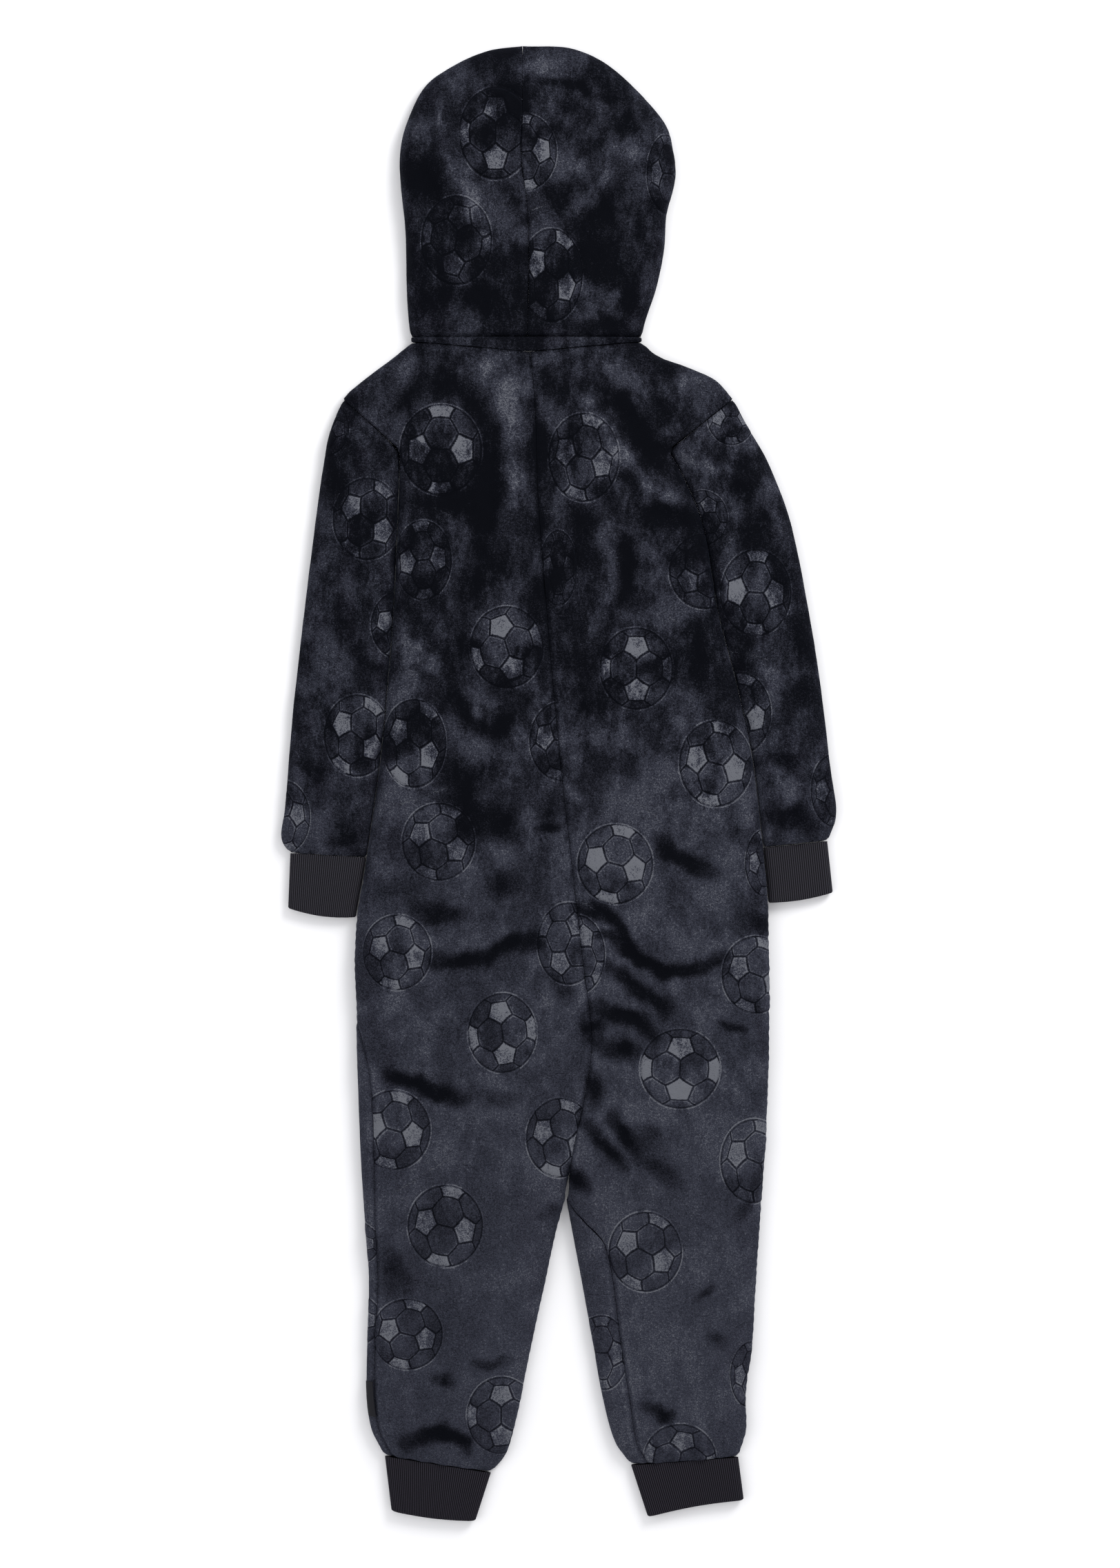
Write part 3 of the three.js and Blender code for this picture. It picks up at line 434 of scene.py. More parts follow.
def fold_height(form_name, x, y):
    """How far the folds lift or sink the cloth."""
    height = np.zeros(np.shape(x))
    for path, wide, high in FOLDS[form_name]:
        gap, share = nearest(path, x, y)
        along = 0.35 + 0.65 * np.sin(np.pi * share)
        height += high * along * np.exp(-(gap / wide) ** 2) * (gap <= 3 * wide)
    return height


def ripple(x, y, size, seed):
    """A smooth, uneven field between about -1 and 1, with lumps of this size."""
    random = np.random.default_rng(seed)
    field = np.zeros(np.shape(x))
    waves = 7
    for _ in range(waves):
        angle, phase = random.uniform(0, 2 * np.pi), random.uniform(0, 2 * np.pi)
        stretch = random.uniform(0.7, 1.5)
        along = x * math.cos(angle) + y * math.sin(angle)
        field += np.cos(np.pi * along * stretch / size + phase)
    return field / math.sqrt(waves)


# Cross-sections

TURN_SPARE = math.pi / 2 - 1


def section(a, b, height, c=None, lip=LIP, turn=TURN, turned_a=1.0, turned_b=1.0, bend=None):
    """Rows of cross-sections that run over the top from a to b, and back under to c or a.

    turned_a and turned_b say how far the top turns down there: 1 at an edge, 0 at a seam.
    """
    rows = len(a)
    column = lambda value: np.broadcast_to(np.asarray(value, float).reshape(-1, 1), (rows, 1))
    c = a if c is None else c
    form = SimpleNamespace(a=a, b=b, c=c, height=height, bend=bend)
    form.lip, form.turn = column(lip), column(turn)
    form.turned_a, form.turned_b = column(turned_a), column(turned_b)
    form.width = np.linalg.norm(b - a, axis=1)[:, None]
    form.under_width = np.linalg.norm(b - c, axis=1)[:, None]
    spare = (form.turned_a + form.turned_b) * TURN_SPARE
    form.top_run = form.width + spare * form.turn
    form.under_run = form.under_width + spare * form.lip
    form.looped = form.turned_a > 0.999
    return form


def cloth_over(form, strip):
    """Length of cloth from an edge's outermost line that covers a strip of this width on top."""
    low = form.turn * np.arccos(1 - np.clip(strip, 0, form.turn) / form.turn)
    return np.where(strip >= form.turn, strip + form.turn * TURN_SPARE, low)


def length_at(form, share):
    """Length of cloth from a, over the top and back under, at a share from -1 to 3."""
    under = form.top_run + (share - 1) * form.under_run
    again = form.top_run + form.under_run + (share - 2) * form.top_run
    low = np.where(share < 0, share * form.under_run, share * form.top_run)
    return np.where(share <= 1, low, np.where(share <= 2, under, again))


def share_at(form, length):
    under = 1 + (length - form.top_run) / form.under_run
    again = 2 + (length - form.top_run - form.under_run) / form.top_run
    low = np.where(length < 0, length / form.under_run, length / form.top_run)
    return np.where(length <= form.top_run, low, np.where(under <= 2, under, again))


def lay(form, shares, closed=False):
    """Points of the cloth at shares of each section, 0 to 1 over the top and 1 to 2 underneath."""
    shares = np.where(form.looped & (shares < 0), shares + 2, shares)
    shares = np.where(form.looped & (shares > 2), shares - 2, shares)
    over = shares <= 1
    turn = np.where(over, form.turn, form.lip)
    width = np.where(over, form.width, form.under_width)
    run = np.where(over, form.top_run, form.under_run)
    from_b = np.where(over, 1 - shares, shares - 1) * run
    from_a = run - from_b

    def reach(length, turned):
        angle = np.minimum(length / turn, np.pi / 2)
        curved = np.where(length > turn * np.pi / 2, length - turn * TURN_SPARE, turn * (1 - np.cos(angle)))
        return mix(length, curved, turned), 1 - turned * (1 - np.sin(angle))

    inward_a, rise_a = reach(from_a, form.turned_a)
    inward_b, rise_b = reach(from_b, form.turned_b)
    across = np.where(from_a < from_b, inward_a, width - inward_b) / width
    start = np.where(over[..., None], form.a[:, None], form.c[:, None])
    place = start + (form.b[:, None] - start) * np.clip(across, 0, 1)[..., None]
    x, y = place[..., 0], place[..., 1]
    if form.bend:
        y = y + form.bend(x, y)
    rise = rise_a * rise_b
    z = np.where(over, mix(form.lip, form.height(x, y, across), rise), form.lip * (1 - rise))
    at = np.stack([x, y, z], axis=-1)
    return SimpleNamespace(at=at, over=over, closed=closed, out=facing_out(at, over, closed))


def spaced(form, first, last, count, closed=False):
    """Shares that divide the cloth evenly between two of them, and the lengths to both."""
    low, high = length_at(form, first), length_at(form, last)
    steps = np.arange(count) / (count if closed else count - 1)
    length = low + (high - low) * steps[None, :]
    return share_at(form, length), length - low, high - length


def facing_out(at, over, closed):
    """Directions that face out of the cloth at each point."""
    if closed:
        across = np.roll(at, -1, axis=1) - np.roll(at, 1, axis=1)
    else:
        across = np.gradient(at, axis=1, edge_order=2)
    out = np.cross(np.gradient(at, axis=0, edge_order=2), across)
    out /= np.maximum(np.linalg.norm(out, axis=-1, keepdims=True), 1e-9)
    top = over & (np.abs(out[..., 2]) > 0.5)
    sign = np.sign(out[..., 2][top].mean()) if top.any() else -np.sign(out[..., 2].mean())
    return out * sign


# Meshes

COARSER = 4  # how many steps of the outer skin one step of the inner skin takes


def wall_mesh(name, laid, relief, thickness, values):
    """Closes a raised outer skin and a coarser inner skin into one wall, with values on its vertices."""
    closed = laid.closed
    outer = laid.at + laid.out * relief[..., None]
    inner = (laid.at - laid.out * thickness)[::COARSER, ::COARSER]
    rows, columns = outer.shape[:2]
    inner_rows, inner_columns = inner.shape[:2]
    outer_ids = np.arange(rows * columns).reshape(rows, columns)
    inner_ids = np.arange(inner_rows * inner_columns).reshape(inner_rows, inner_columns) + rows * columns

    def skin(ids):
        if closed:
            ids = np.hstack([ids, ids[:, :1]])
        quads = np.stack([ids[:-1, :-1], ids[:-1, 1:], ids[1:, 1:], ids[1:, :-1]], axis=-1)
        return quads.reshape(-1, 4)

    def rim(outside, inside):
        ratio = (len(outside) - 1) // (len(inside) - 1)
        faces = []
        for k in range(len(inside) - 1):
            fan = list(outside[k * ratio:(k + 1) * ratio + 1])
            faces += [(fan[q + 1], fan[q], inside[k]) for q in range(ratio)]
            faces.append((fan[ratio], inside[k], inside[k + 1]))
        return faces

    wrap = (lambda row: np.append(row, row[0])) if closed else (lambda row: row)
    ends = lambda ids: [wrap(ids[0]), wrap(ids[-1])[::-1]]
    sides = lambda ids: [ids[:, -1], ids[::-1, 0]]
    faces = skin(outer_ids).tolist() + skin(inner_ids)[:, ::-1].tolist()
    for outside, inside in zip(ends(outer_ids), ends(inner_ids)):
        faces += rim(outside, inside)
    if not closed:
        for outside, inside in zip(sides(outer_ids), sides(inner_ids)):
            faces += rim(outside, inside)
    points = np.vstack([outer.reshape(-1, 3), inner.reshape(-1, 3)]) * MM

    def volume(ids):
        """Grows with what the skin holds, and is below zero where its faces turn inward."""
        corners = points[skin(ids)]
        normals = np.cross(corners[:, 1] - corners[:, 0], corners[:, 2] - corners[:, 0])
        return (corners[:, 0] * normals).sum()

    if volume(outer_ids) < volume(inner_ids):
        faces = [face[::-1] for face in faces]
    mesh = bpy.data.meshes.new(name)
    mesh.from_pydata(points, [], faces)
    mesh.shade_smooth()
    mesh.set_sharp_from_angle(angle=math.radians(60))
    for key, value in values.items():
        flat = np.zeros((len(points), value.shape[-1])) if value.ndim == 3 else np.zeros(len(points))
        flat[:rows * columns] = value.reshape(rows * columns, -1).squeeze()
        if value.ndim == 3:
            mesh.attributes.new(key, "FLOAT_VECTOR", "POINT").data.foreach_set("vector", flat.ravel())
        else:
            mesh.attributes.new(key, "FLOAT", "POINT").data.foreach_set("value", flat)
    return mesh


def add_piece(name, mesh, material, node):
    """Links a mesh as a piece of the sleepsuit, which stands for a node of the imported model."""
    piece = bpy.data.objects.new(name, mesh)
    bpy.context.scene.collection.objects.link(piece)
    mesh.materials.clear()
    mesh.materials.append(material)
    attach(piece, "root")
    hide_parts(node)
    return piece


def fleece_piece(node, laid, relief, local, pile):
    """A piece of fleece. Its relief only sinks on the underside, so that it lies flat."""
    relief = np.where(laid.over, relief, np.minimum(relief, 0))
    mesh = wall_mesh(node, laid, relief, FLEECE, {"ball": local, "pile": pile})
    return add_piece(f"plush_{node}", mesh, plush(), node)


NARROWEST = 10  # a strip that shows less is cut this wide, with what is sewn in at its sides


def lay_out(form, lengths):
    """Works out the width, length and area of the piece as a laid sheet, cut to the size that its sections
    give. lengths are around it.
    """
    middles = (form.a + form.b) / 2
    steps = np.linalg.norm(np.diff(middles, axis=0), axis=1)
    lengths = np.broadcast_to(np.ravel(lengths), (len(form.a),))
    width, length = float(lengths.max()), float(steps.sum())
    area = min(float((steps * (lengths[1:] + lengths[:-1]) / 2).sum()), width * length)
    if length < NARROWEST:
        length, area = NARROWEST, width * NARROWEST


# Balls

GOLDEN = (1 + math.sqrt(5)) / 2
PENTAGON_FAR = 2.32744
HEXAGON_FAR = 2.26728
CORNER_LEAD = 0.4036  # how far a face leads where three of them meet
PINCH = 0.35  # how far the pentagons' sides curve in, from 0, straight, to 1
BALL_REACH = 0.95  # share of the ball's own radius at which the embossed outline cuts it


def _faces():
    """Directions of the ball's faces seen from the front, each over its distance to the centre."""
    pentagons = [(0, 1, GOLDEN), (1, GOLDEN, 0), (GOLDEN, 0, 1)]
    hexagons = [
        (1, 1, 1), (1 / GOLDEN, 0, GOLDEN), (GOLDEN, 1 / GOLDEN, 0), (0, GOLDEN, 1 / GOLDEN),
        (-1 / GOLDEN, 0, GOLDEN), (GOLDEN, -1 / GOLDEN, 0),
    ]
    unit = lambda v, far: np.array(v) / np.linalg.norm(v) / far
    return [unit(v, PENTAGON_FAR) for v in pentagons], [unit(v, HEXAGON_FAR) for v in hexagons]


PENTAGONS, HEXAGONS = _faces()


def ball_relief(u, v):
    """Height of the embossing in a ball's own coordinates, where 1 is its outline."""
    r = np.hypot(u, v)
    inside = np.minimum(r, 1) * BALL_REACH
    n = np.stack([np.abs(u) * BALL_REACH, np.abs(v) * BALL_REACH, np.sqrt(1 - inside ** 2)], axis=-1)
    pent = mix(np.max([n @ f for f in PENTAGONS], axis=0), CORNER_LEAD, PINCH)
    hexes = np.sort([n @ f for f in HEXAGONS], axis=0)
    faces = np.sort(np.stack([pent, hexes[-1], hexes[-2]]), axis=0)
    edge = faces[-1] - faces[-2]
    on_ball = fade(1.02, 0.96, r)
    puff = 1 - np.exp(-(edge / 0.012) ** 1.5)
    dome = np.sqrt(np.clip(1 - r ** 2, 0, 1))
    shorn = (pent > hexes[-1]) * 0.55
    height = on_ball * (0.5 * dome ** 0.5 + 0.8 * puff - shorn * puff)
    return height - 0.9 * np.exp(-((r - 1.0) / 0.045) ** 2)


def balls_on(piece, x, y, where):
    """Embossed height on a piece, and each place's (u, v, sheen) in its nearest ball."""
    best = np.full(np.shape(x), 4.0)
    local = np.zeros(np.shape(x) + (3,))
    local[..., 0] = 4.0
    for cx, cy, half_width, half_height, turn, sheen in BALLS.get(piece, ()):
        px, py = (x - cx) / half_width, (y - cy) / half_height
        r = np.hypot(px, py)
        closer = where & (r < best) & (r < 1.6)
        angle = math.radians(90 - turn)
        u = px * math.cos(angle) - py * math.sin(angle)
        v = px * math.sin(angle) + py * math.cos(angle)
        local[closer] = np.stack([u, v, np.full(np.shape(u), sheen)], axis=-1)[closer]
        best = np.where(closer, r, best)
    relief = np.where(best < 1.5, ball_relief(local[..., 0], local[..., 1]), 0)
    return relief, local


CALM_HEIGHT = 7  # above the outermost line, where the embossing is at full height

# Tone of the pile, by level: how strongly its patches show, and how light it looks. The pile is painted
# lighter towards the legs, for the light that it reflects there.

PATCHINESS = [
    (662, 0.95), (400, 1.0), (150, 1.0), (40, 0.9), (-60, 0.65), (-250, 0.45), (-420, 0.28), (-610, 0.25),
]
LIGHTNESS = [
    (662, 0.345), (400, 0.335), (200, 0.345), (40, 0.455), (-60, 0.54), (-200, 0.61), (-320, 0.635),
    (-420, 0.66), (-610, 0.69),
]
SLEEVE_LIGHTNESS = {"left": -0.06, "right": 0.05}  # over the trunk's, since the two catch the light apart
# The dark strokes are darker pile and painted shade in the folds
DARK_STROKES = 1.45  # how much stronger the dark strokes are than the table says


def pile_tone_and_painted_light(form_name, x, y, seams=()):
    """How light the pile looks, from 0 to 1, and how strongly its patches show. Its tone holds painted shade
    in the folds and painted highlights on their ridges, and the legs are painted lighter.

    seams are distances to the seams near by, where the pile parts over the stitches in a dark line, with a
    painted highlight beside it.
    """
    tone = read_at(LIGHTNESS, y)
    if form_name == "sleeve":
        tone = tone + np.where(x < 0, SLEEVE_LIGHTNESS["left"], SLEEVE_LIGHTNESS["right"])
    frayed = [2.4 * ripple(x, y, 26, seed) + 0.9 * ripple(x, y, 9, seed + 2) for seed in (31, 32)]
    x_at, y_at = x + frayed[0], y + frayed[1]
    # Brushed pile, with shade painted into the folds' valleys and highlights painted on their ridges
    for path, wide, strength in BRUSHED_PILE_AND_FOLD_SHADING.get(form_name, ()):
        gap, share = nearest(path, x_at, y_at)
        stroke = np.exp(-(gap / (1.15 * wide)) ** 2.6) * (0.5 + 0.5 * np.sin(np.pi * share))
        tone = tone + (DARK_STROKES if strength < 0 else 1.0) * strength * stroke
    for distance in seams:
        # A dark line on each seam, and a painted highlight 4 mm beside it
        tone = tone - 0.13 * np.exp(-(distance / 1.6) ** 2) + 0.05 * np.exp(-((distance - 4) / 1.6) ** 2)
    return np.stack([tone, read_at(PATCHINESS, y), np.zeros(np.shape(x))], axis=-1)


# Materials

def add_node(tree, kind, settings=(), inputs=()):
    """Adds a node, sets its properties, and gives each input its value or links it to a socket."""
    node = tree.nodes.new("ShaderNode" + kind)
    for key, value in dict(settings).items():
        setattr(node, key, value)
    for key, value in dict(inputs).items():
        value = getattr(value, "socket", value)
        if isinstance(value, bpy.types.NodeSocket):
            tree.links.new(value, node.inputs[key])
        else:
            node.inputs[key].default_value = value
    return node


class Field:
    """A number that varies over a surface. Sums on it add the nodes that work them out."""

    def __init__(self, socket):
        self.socket = socket

    def maths(self, operation, *values):
        node = add_node(self.socket.id_data, "Math", {"operation": operation}, enumerate(values))
        return Field(node.outputs[0])

    def __add__(self, other):
        return self.maths("ADD", self, other)

    def __sub__(self, other):
        return self.maths("SUBTRACT", self, other)

    def __rsub__(self, other):
        return self.maths("SUBTRACT", other, self)

    def __mul__(self, other):
        return self.maths("MULTIPLY", self, other)

    def __truediv__(self, other):
        return self.maths("DIVIDE", self, other)

    def __abs__(self):
        return self.maths("ABSOLUTE", self)

    __radd__, __rmul__ = __add__, __mul__

    def root(self):
        return self.maths("SQRT", self)

    def larger(self, other):
        return self.maths("MAXIMUM", self, other)

    def smaller(self, other):
        return self.maths("MINIMUM", self, other)

    def ease(self, start, end):
        """0 at start and 1 at end, smooth between."""
        node = add_node(
            self.socket.id_data, "MapRange", {"interpolation_type": "SMOOTHSTEP"},
            {"Value": self, "From Min": start, "From Max": end})
        return Field(node.outputs["Result"])


def new_material(name, colour, **sockets):
    """A material with one principled shader, whose fixed values stand on its own sockets."""
    material = bpy.data.materials.new(name)
    material.use_nodes = True
    material.diffuse_color = colour
    shader = material.node_tree.nodes["Principled BSDF"]
    shader.inputs["Base Color"].default_value = colour
    for key, value in sockets.items():
        shader.inputs[key.replace("_", " ")].default_value = value
    return material, material.node_tree, shader


def read_mesh(tree, name):
    """The three numbers that each vertex of the mesh holds under this name."""
    vector = add_node(tree, "Attribute", {"attribute_name": name}).outputs["Vector"]
    return [Field(socket) for socket in add_node(tree, "SeparateXYZ", inputs={"Vector": vector}).outputs]


def dress(tree, shader, tone, stops, height, strength, depth):
    """Colours a shader by its tone through stops, and raises it by its height, depth in millimetres."""
    ramp = add_node(tree, "ValToRGB", inputs={"Fac": tone})
    elements = ramp.color_ramp.elements
    for element, (position, colour) in zip(elements, (stops[0], stops[-1])):
        element.position, element.color = position, colour
    for position, colour in stops[1:-1]:
        elements.new(position).color = colour
    tree.links.new(ramp.outputs["Color"], shader.inputs["Base Color"])
    bump = add_node(tree, "Bump", inputs={"Strength": strength, "Distance": depth * MM, "Height": height})
    tree.links.new(bump.outputs["Normal"], shader.inputs["Normal"])


def plush_material(settings):
    """Polyester plush fleece, embossed by heat: a soft dull pile that looks light or dark by its lie, with
    painted shade and highlights on its folds, seams and balls.
    """
    material, tree, shader = new_material(
        "plush_fleece", settings.middle, Roughness=0.85, Specular_IOR_Level=0.05,
        Sheen_Weight=0.25, Sheen_Roughness=0.5, Sheen_Tint=linear("4a5064"))
    place = add_node(tree, "TexCoord").outputs["Object"]
    tone, patchiness, _ = read_mesh(tree, "pile")
    u, v, sheen = read_mesh(tree, "ball")

    def noise(size, detail, rough, distortion=0.0, at=place):
        """Uneven clouds of this size in millimetres, about -0.5 to 0.5."""
        node = add_node(tree, "TexNoise", inputs={
            "Vector": at, "Scale": 1 / (size * MM), "Detail": detail, "Roughness": rough,
            "Distortion": distortion})
        return Field(node.outputs["Fac"]) - 0.5

    # Pile brushed this way and that: patches 50 mm wide, smaller ones in them, and combed streaks
    combed = add_node(tree, "Mapping", inputs={
        "Vector": place, "Scale": (1.0, 0.55, 1.0), "Rotation": (0, 0, math.radians(14))}).outputs["Vector"]
    patches = noise(52, 2.0, 0.5, 0.5) + 0.75 * noise(14, 3.0, 0.58, 0.3, combed)
    patches = patches + 0.35 * noise(3.6, 3.0, 0.6, 0.2, combed)
    patches = patches.ease(-0.24, 0.24) - 0.5
    # The tips of the pile, drawn 1 to 2 mm apart, coarser than real so that they show
    grain = noise(0.8, 2.0, 0.6) + 0.6 * noise(1.7, 2.0, 0.6)

    # The ball's faces: the nearest face direction wins, and a small lead over the next is an edge
    across, up = abs(u) * BALL_REACH, abs(v) * BALL_REACH
    square = across * across + up * up
    radius = square.root() / BALL_REACH
    towards = add_node(tree, "CombineXYZ", inputs={
        "X": across, "Y": up, "Z": (1 - square).larger(0).root()}).outputs["Vector"]

    def lead(direction):
        """How squarely the ball's surface faces this way."""
        node = add_node(tree, "VectorMath", {"operation": "DOT_PRODUCT"}, {0: towards, 1: direction})
        return Field(node.outputs["Value"])

    pentagon = lead(PENTAGONS[0])
    for direction in PENTAGONS[1:]:
        pentagon = pentagon.larger(lead(direction))
    pentagon = pentagon * (1 - PINCH) + PINCH * CORNER_LEAD
    hexagon, second = lead(HEXAGONS[0]), 0
    for direction in HEXAGONS[1:]:
        value = lead(direction)
        hexagon, second = hexagon.larger(value), hexagon.smaller(value).larger(second)
    edge = pentagon.larger(hexagon) - pentagon.smaller(hexagon).larger(second)
    # Hexagons puff out over the pentagons, whose sides curve in
    on_ball = radius.ease(1.0, 0.97)
    groove = edge.ease(0.009, 0.002) * on_ball
    shorn = (pentagon - hexagon).ease(0, 0.006) * on_ball
    # Painted highlights: beside lies next to the lines between faces, and outline runs round the ball's edge
    beside = abs(edge - 0.012).ease(0.006, 0) * on_ball
    outline = abs(radius - 1.015).ease(0.026, 0)
    inside = abs(radius - 0.97).ease(0.028, 0)

    # Hexagons keep their pile and look darker, and pressed pentagons are bare, flat and lighter, with a
    # painted highlight on them as strong as each ball's sheen. The highlights beside the lines and on the
    # outline are painted, stronger where the patches are light.
    light = shorn * sheen
    one_side = patches.ease(-0.3, 0.3)
    tone = tone + 0.52 * patches * patchiness + (0.1 * patches - 0.07) * on_ball
    tone = tone + light * (0.45 + 0.22 * patches) - 0.3 * groove + 0.2 * beside * one_side
    tone = tone + 0.24 * outline * (0.4 + one_side) - 0.24 * inside
    tone = tone + grain * (0.75 + 0.5 * patchiness + 0.5 * light)
    stops = [
        (0.14, settings.dark), (0.41, settings.middle), (0.75, settings.light), (1.0, settings.shorn),
    ]
    height = 0.8 * grain + 0.3 * patches - 0.5 * groove - 0.7 * inside
    dress(tree, shader, tone, stops, height, 0.7, 0.9)
    return material


def rib_material(name, colour, light):
    """Cotton rib knit with elastane: matt, with rows of small V stitches on each rib."""
    material, tree, shader = new_material(
        name, colour, Roughness=0.9, Specular_IOR_Level=0.08, Sheen_Weight=0.2, Sheen_Roughness=0.5,
        Sheen_Tint=light)
    # How many ribs and stitches lie before a place, and how high it stands on its rib
    ribs, stitches, crown = read_mesh(tree, "rib")
    # Each stitch is a V, so its row slants both ways
    slant = stitches + ribs.maths("PINGPONG", ribs, 0.5)
    stitch = slant.maths("SINE", slant * (2 * math.pi))
    fuzz = Field(add_node(tree, "TexNoise", inputs={
        "Vector": add_node(tree, "TexCoord").outputs["Object"], "Scale": 1 / (0.7 * MM), "Detail": 3.0,
        "Roughness": 0.6}).outputs["Fac"])
    # The ribs' crowns are painted lighter and the hollows between them painted darker, as shade
    tone = crown + 0.12 * stitch + 0.6 * (fuzz - 0.5)
    stops = [(0, [0.2 * c for c in colour[:3]] + [1]), (1, light)]
    dress(tree, shader, tone, stops, 0.5 * stitch + fuzz, 0.5, 0.25)
    return material


def woven_material(name, colour, shades, pitch, bands, wave, bump, **sockets):
    """Threads that lie pitch millimetres apart, between two shades."""
    material, tree, shader = new_material(name, linear(colour), **sockets)
    threads = add_node(tree, "TexWave", {"bands_direction": bands}, {
        "Vector": add_node(tree, "TexCoord").outputs["Object"], "Scale": 1 / (pitch * MM),
        **wave}).outputs["Fac"]
    dress(tree, shader, threads, [(k, linear(shade)) for k, shade in enumerate(shades)], threads, *bump)
    return material


def tape_material():
    """Woven polyester zip tape: matt black with a fine twill."""
    return woven_material(
        "polyester_zip_tape", "141418", ("0e0e11", "1d1d22"), 2.4, "DIAGONAL",
        {"Distortion": 0.5, "Detail": 1.0}, (0.4, 0.15), Roughness=0.8, Specular_IOR_Level=0.2)


def label_material():
    """Polyester satin, woven: smooth threads that give the black label a slight gloss."""
    return woven_material(
        "woven_satin", "121216", ("0e0e12", "1a1a20"), 1.6, "Y", {"Distortion": 0.3}, (0.3, 0.1),
        Roughness=0.6, Specular_IOR_Level=0.15)


def slider_material():
    """Zinc alloy, die cast and plated dark: a smooth metal with faint wear."""
    material, tree, shader = new_material("plated_zinc", linear("7b7d83"), Metallic=1.0, Roughness=0.35)
    wear = add_node(tree, "TexNoise", inputs={
        "Vector": add_node(tree, "TexCoord").outputs["Object"], "Scale": 1 / (2 * MM), "Detail": 4.0})
    rough = add_node(
        tree, "MapRange", inputs={"Value": wear.outputs["Fac"], "To Min": 0.25, "To Max": 0.5})
    tree.links.new(rough.outputs["Result"], shader.inputs["Roughness"])
    return material


def plush():
    return bpy.data.materials.get("plush_fleece") or plush_material(bpy.context.scene.onesie_plush)


def edge_calm(laid, form):
    """0 where the cloth turns down at its outermost line, and 1 from a few millimetres above it."""
    return np.clip((laid.at[..., 2] - form.lip) / CALM_HEIGHT, 0, 1) * laid.over


def surface(piece_name, form, laid, seed):
    """Height of the balls and the unevenness, calm near the outermost lines, and the balls' places."""
    x, y = laid.at[..., 0], laid.at[..., 1]
    embossed, local = balls_on(piece_name, x, y, laid.over)
    return (embossed + undulation(x, y, seed)) * mix(0.1, 1, edge_calm(laid, form)), local


# Trunk

def trunk_levels(step):
    """Levels about this far apart, one more than a multiple of how much coarser the inner skin is."""
    count = round((NECK - LEG_END) / step / COARSER) * COARSER + 1
    return np.linspace(NECK, LEG_END, count)


def trunk_form(half, levels):
    """Sections of a trunk half, from the middle seam or the leg's inner edge to the side."""
    legged = fade(CROTCH + 26, CROTCH, levels)
    dip = NECK_DIP * fade(NECK - 70, NECK, levels)
    hem = fade(CROTCH, LEG_END, levels)
    inner_x = np.where(levels > CROTCH, read_at(CENTRE, levels - dip), read_at(half["inner"], levels))
    apart = half["side"] * SEAM * legged / 2
    shoulder, underarm = half["shoulder"][-1][1], half["edge"][0][1]
    armhole = mix(underarm, shoulder, (levels - UNDERARM) / (SHOULDER - UNDERARM))
    edge = np.where(levels > UNDERARM, armhole, read_at(half["edge"], levels))
    edge = np.where(levels > SHOULDER, read_at(half["shoulder"], levels), edge)
    a = np.stack([inner_x + apart, levels - dip + half["hem"][1] * hem], axis=-1)
    b = np.stack([edge, levels + half["hem"][0] * hem], axis=-1)
    sewn = fade(SHOULDER + 6, SHOULDER - 6, levels) * fade(UNDERARM - 30, UNDERARM, levels)
    loft = read_at(TRUNK_LOFT, levels)[:, None]
    row = SimpleNamespace(legged=legged[:, None], sewn=sewn[:, None], level=levels[:, None])

    def height(x, y, across):
        crown = mix(1 - 0.14 * across ** 2, 1 - 0.14 * (2 * across - 1) ** 2, row.legged)
        gathered = fade(LEG_END + 60, LEG_END + 8, row.level) * np.sin(np.pi * np.clip(across, 0, 1))
        puckers = 1.5 * np.cos(across * np.pi * 9) * gathered
        return loft * crown - 2.2 * row.sewn * across ** 8 + fold_height("trunk", x, y) + puckers

    lip = np.minimum(LIP, LOW_LIP * loft[:, 0])
    return section(a, b, height, lip=lip, turned_a=legged, turned_b=1 - sewn)


def inner_gap(levels):
    slanted = fade(CROTCH + 20, CROTCH, levels) * fade(CROTCH - 50, CROTCH - 25, levels)
    return mix(SEAM / 2, CROTCH_GAP, slanted)


def seam_shares(name, form, levels):
    """Shares of the sections at which the seams between back and front lie."""
    def shift(edge):
        strip = read_at(SHOWING[name][edge], levels)
        return np.where(strip >= 0, cloth_over(form, strip) / form.top_run, strip / form.under_run)
    return 1 - shift("outer"), np.where(form.looped, shift("inner"), 0)


def seam_relief(distance, along, depth=1.3, wide=2.6):
    """The cloth rolls in at a seam, and its stitches pucker it a little on both sides."""
    roll = -depth * np.exp(-(distance / wide) ** 2)
    pucker = 0.35 * np.sin(2 * np.pi * along / 8.5 + 1.3 * np.sin(along / 23)) * np.exp(-distance / 7)
    return roll + pucker * (1 - np.exp(-distance / 1.5))


def undulation(x, y, seed):
    """Soft unevenness of the cloth, in waves of three sizes."""
    waves = ((0.45, 26), (0.22, 9), (0.08, 3.4))
    return sum(high * ripple(x, y, size, seed + k) for k, (high, size) in enumerate(waves))


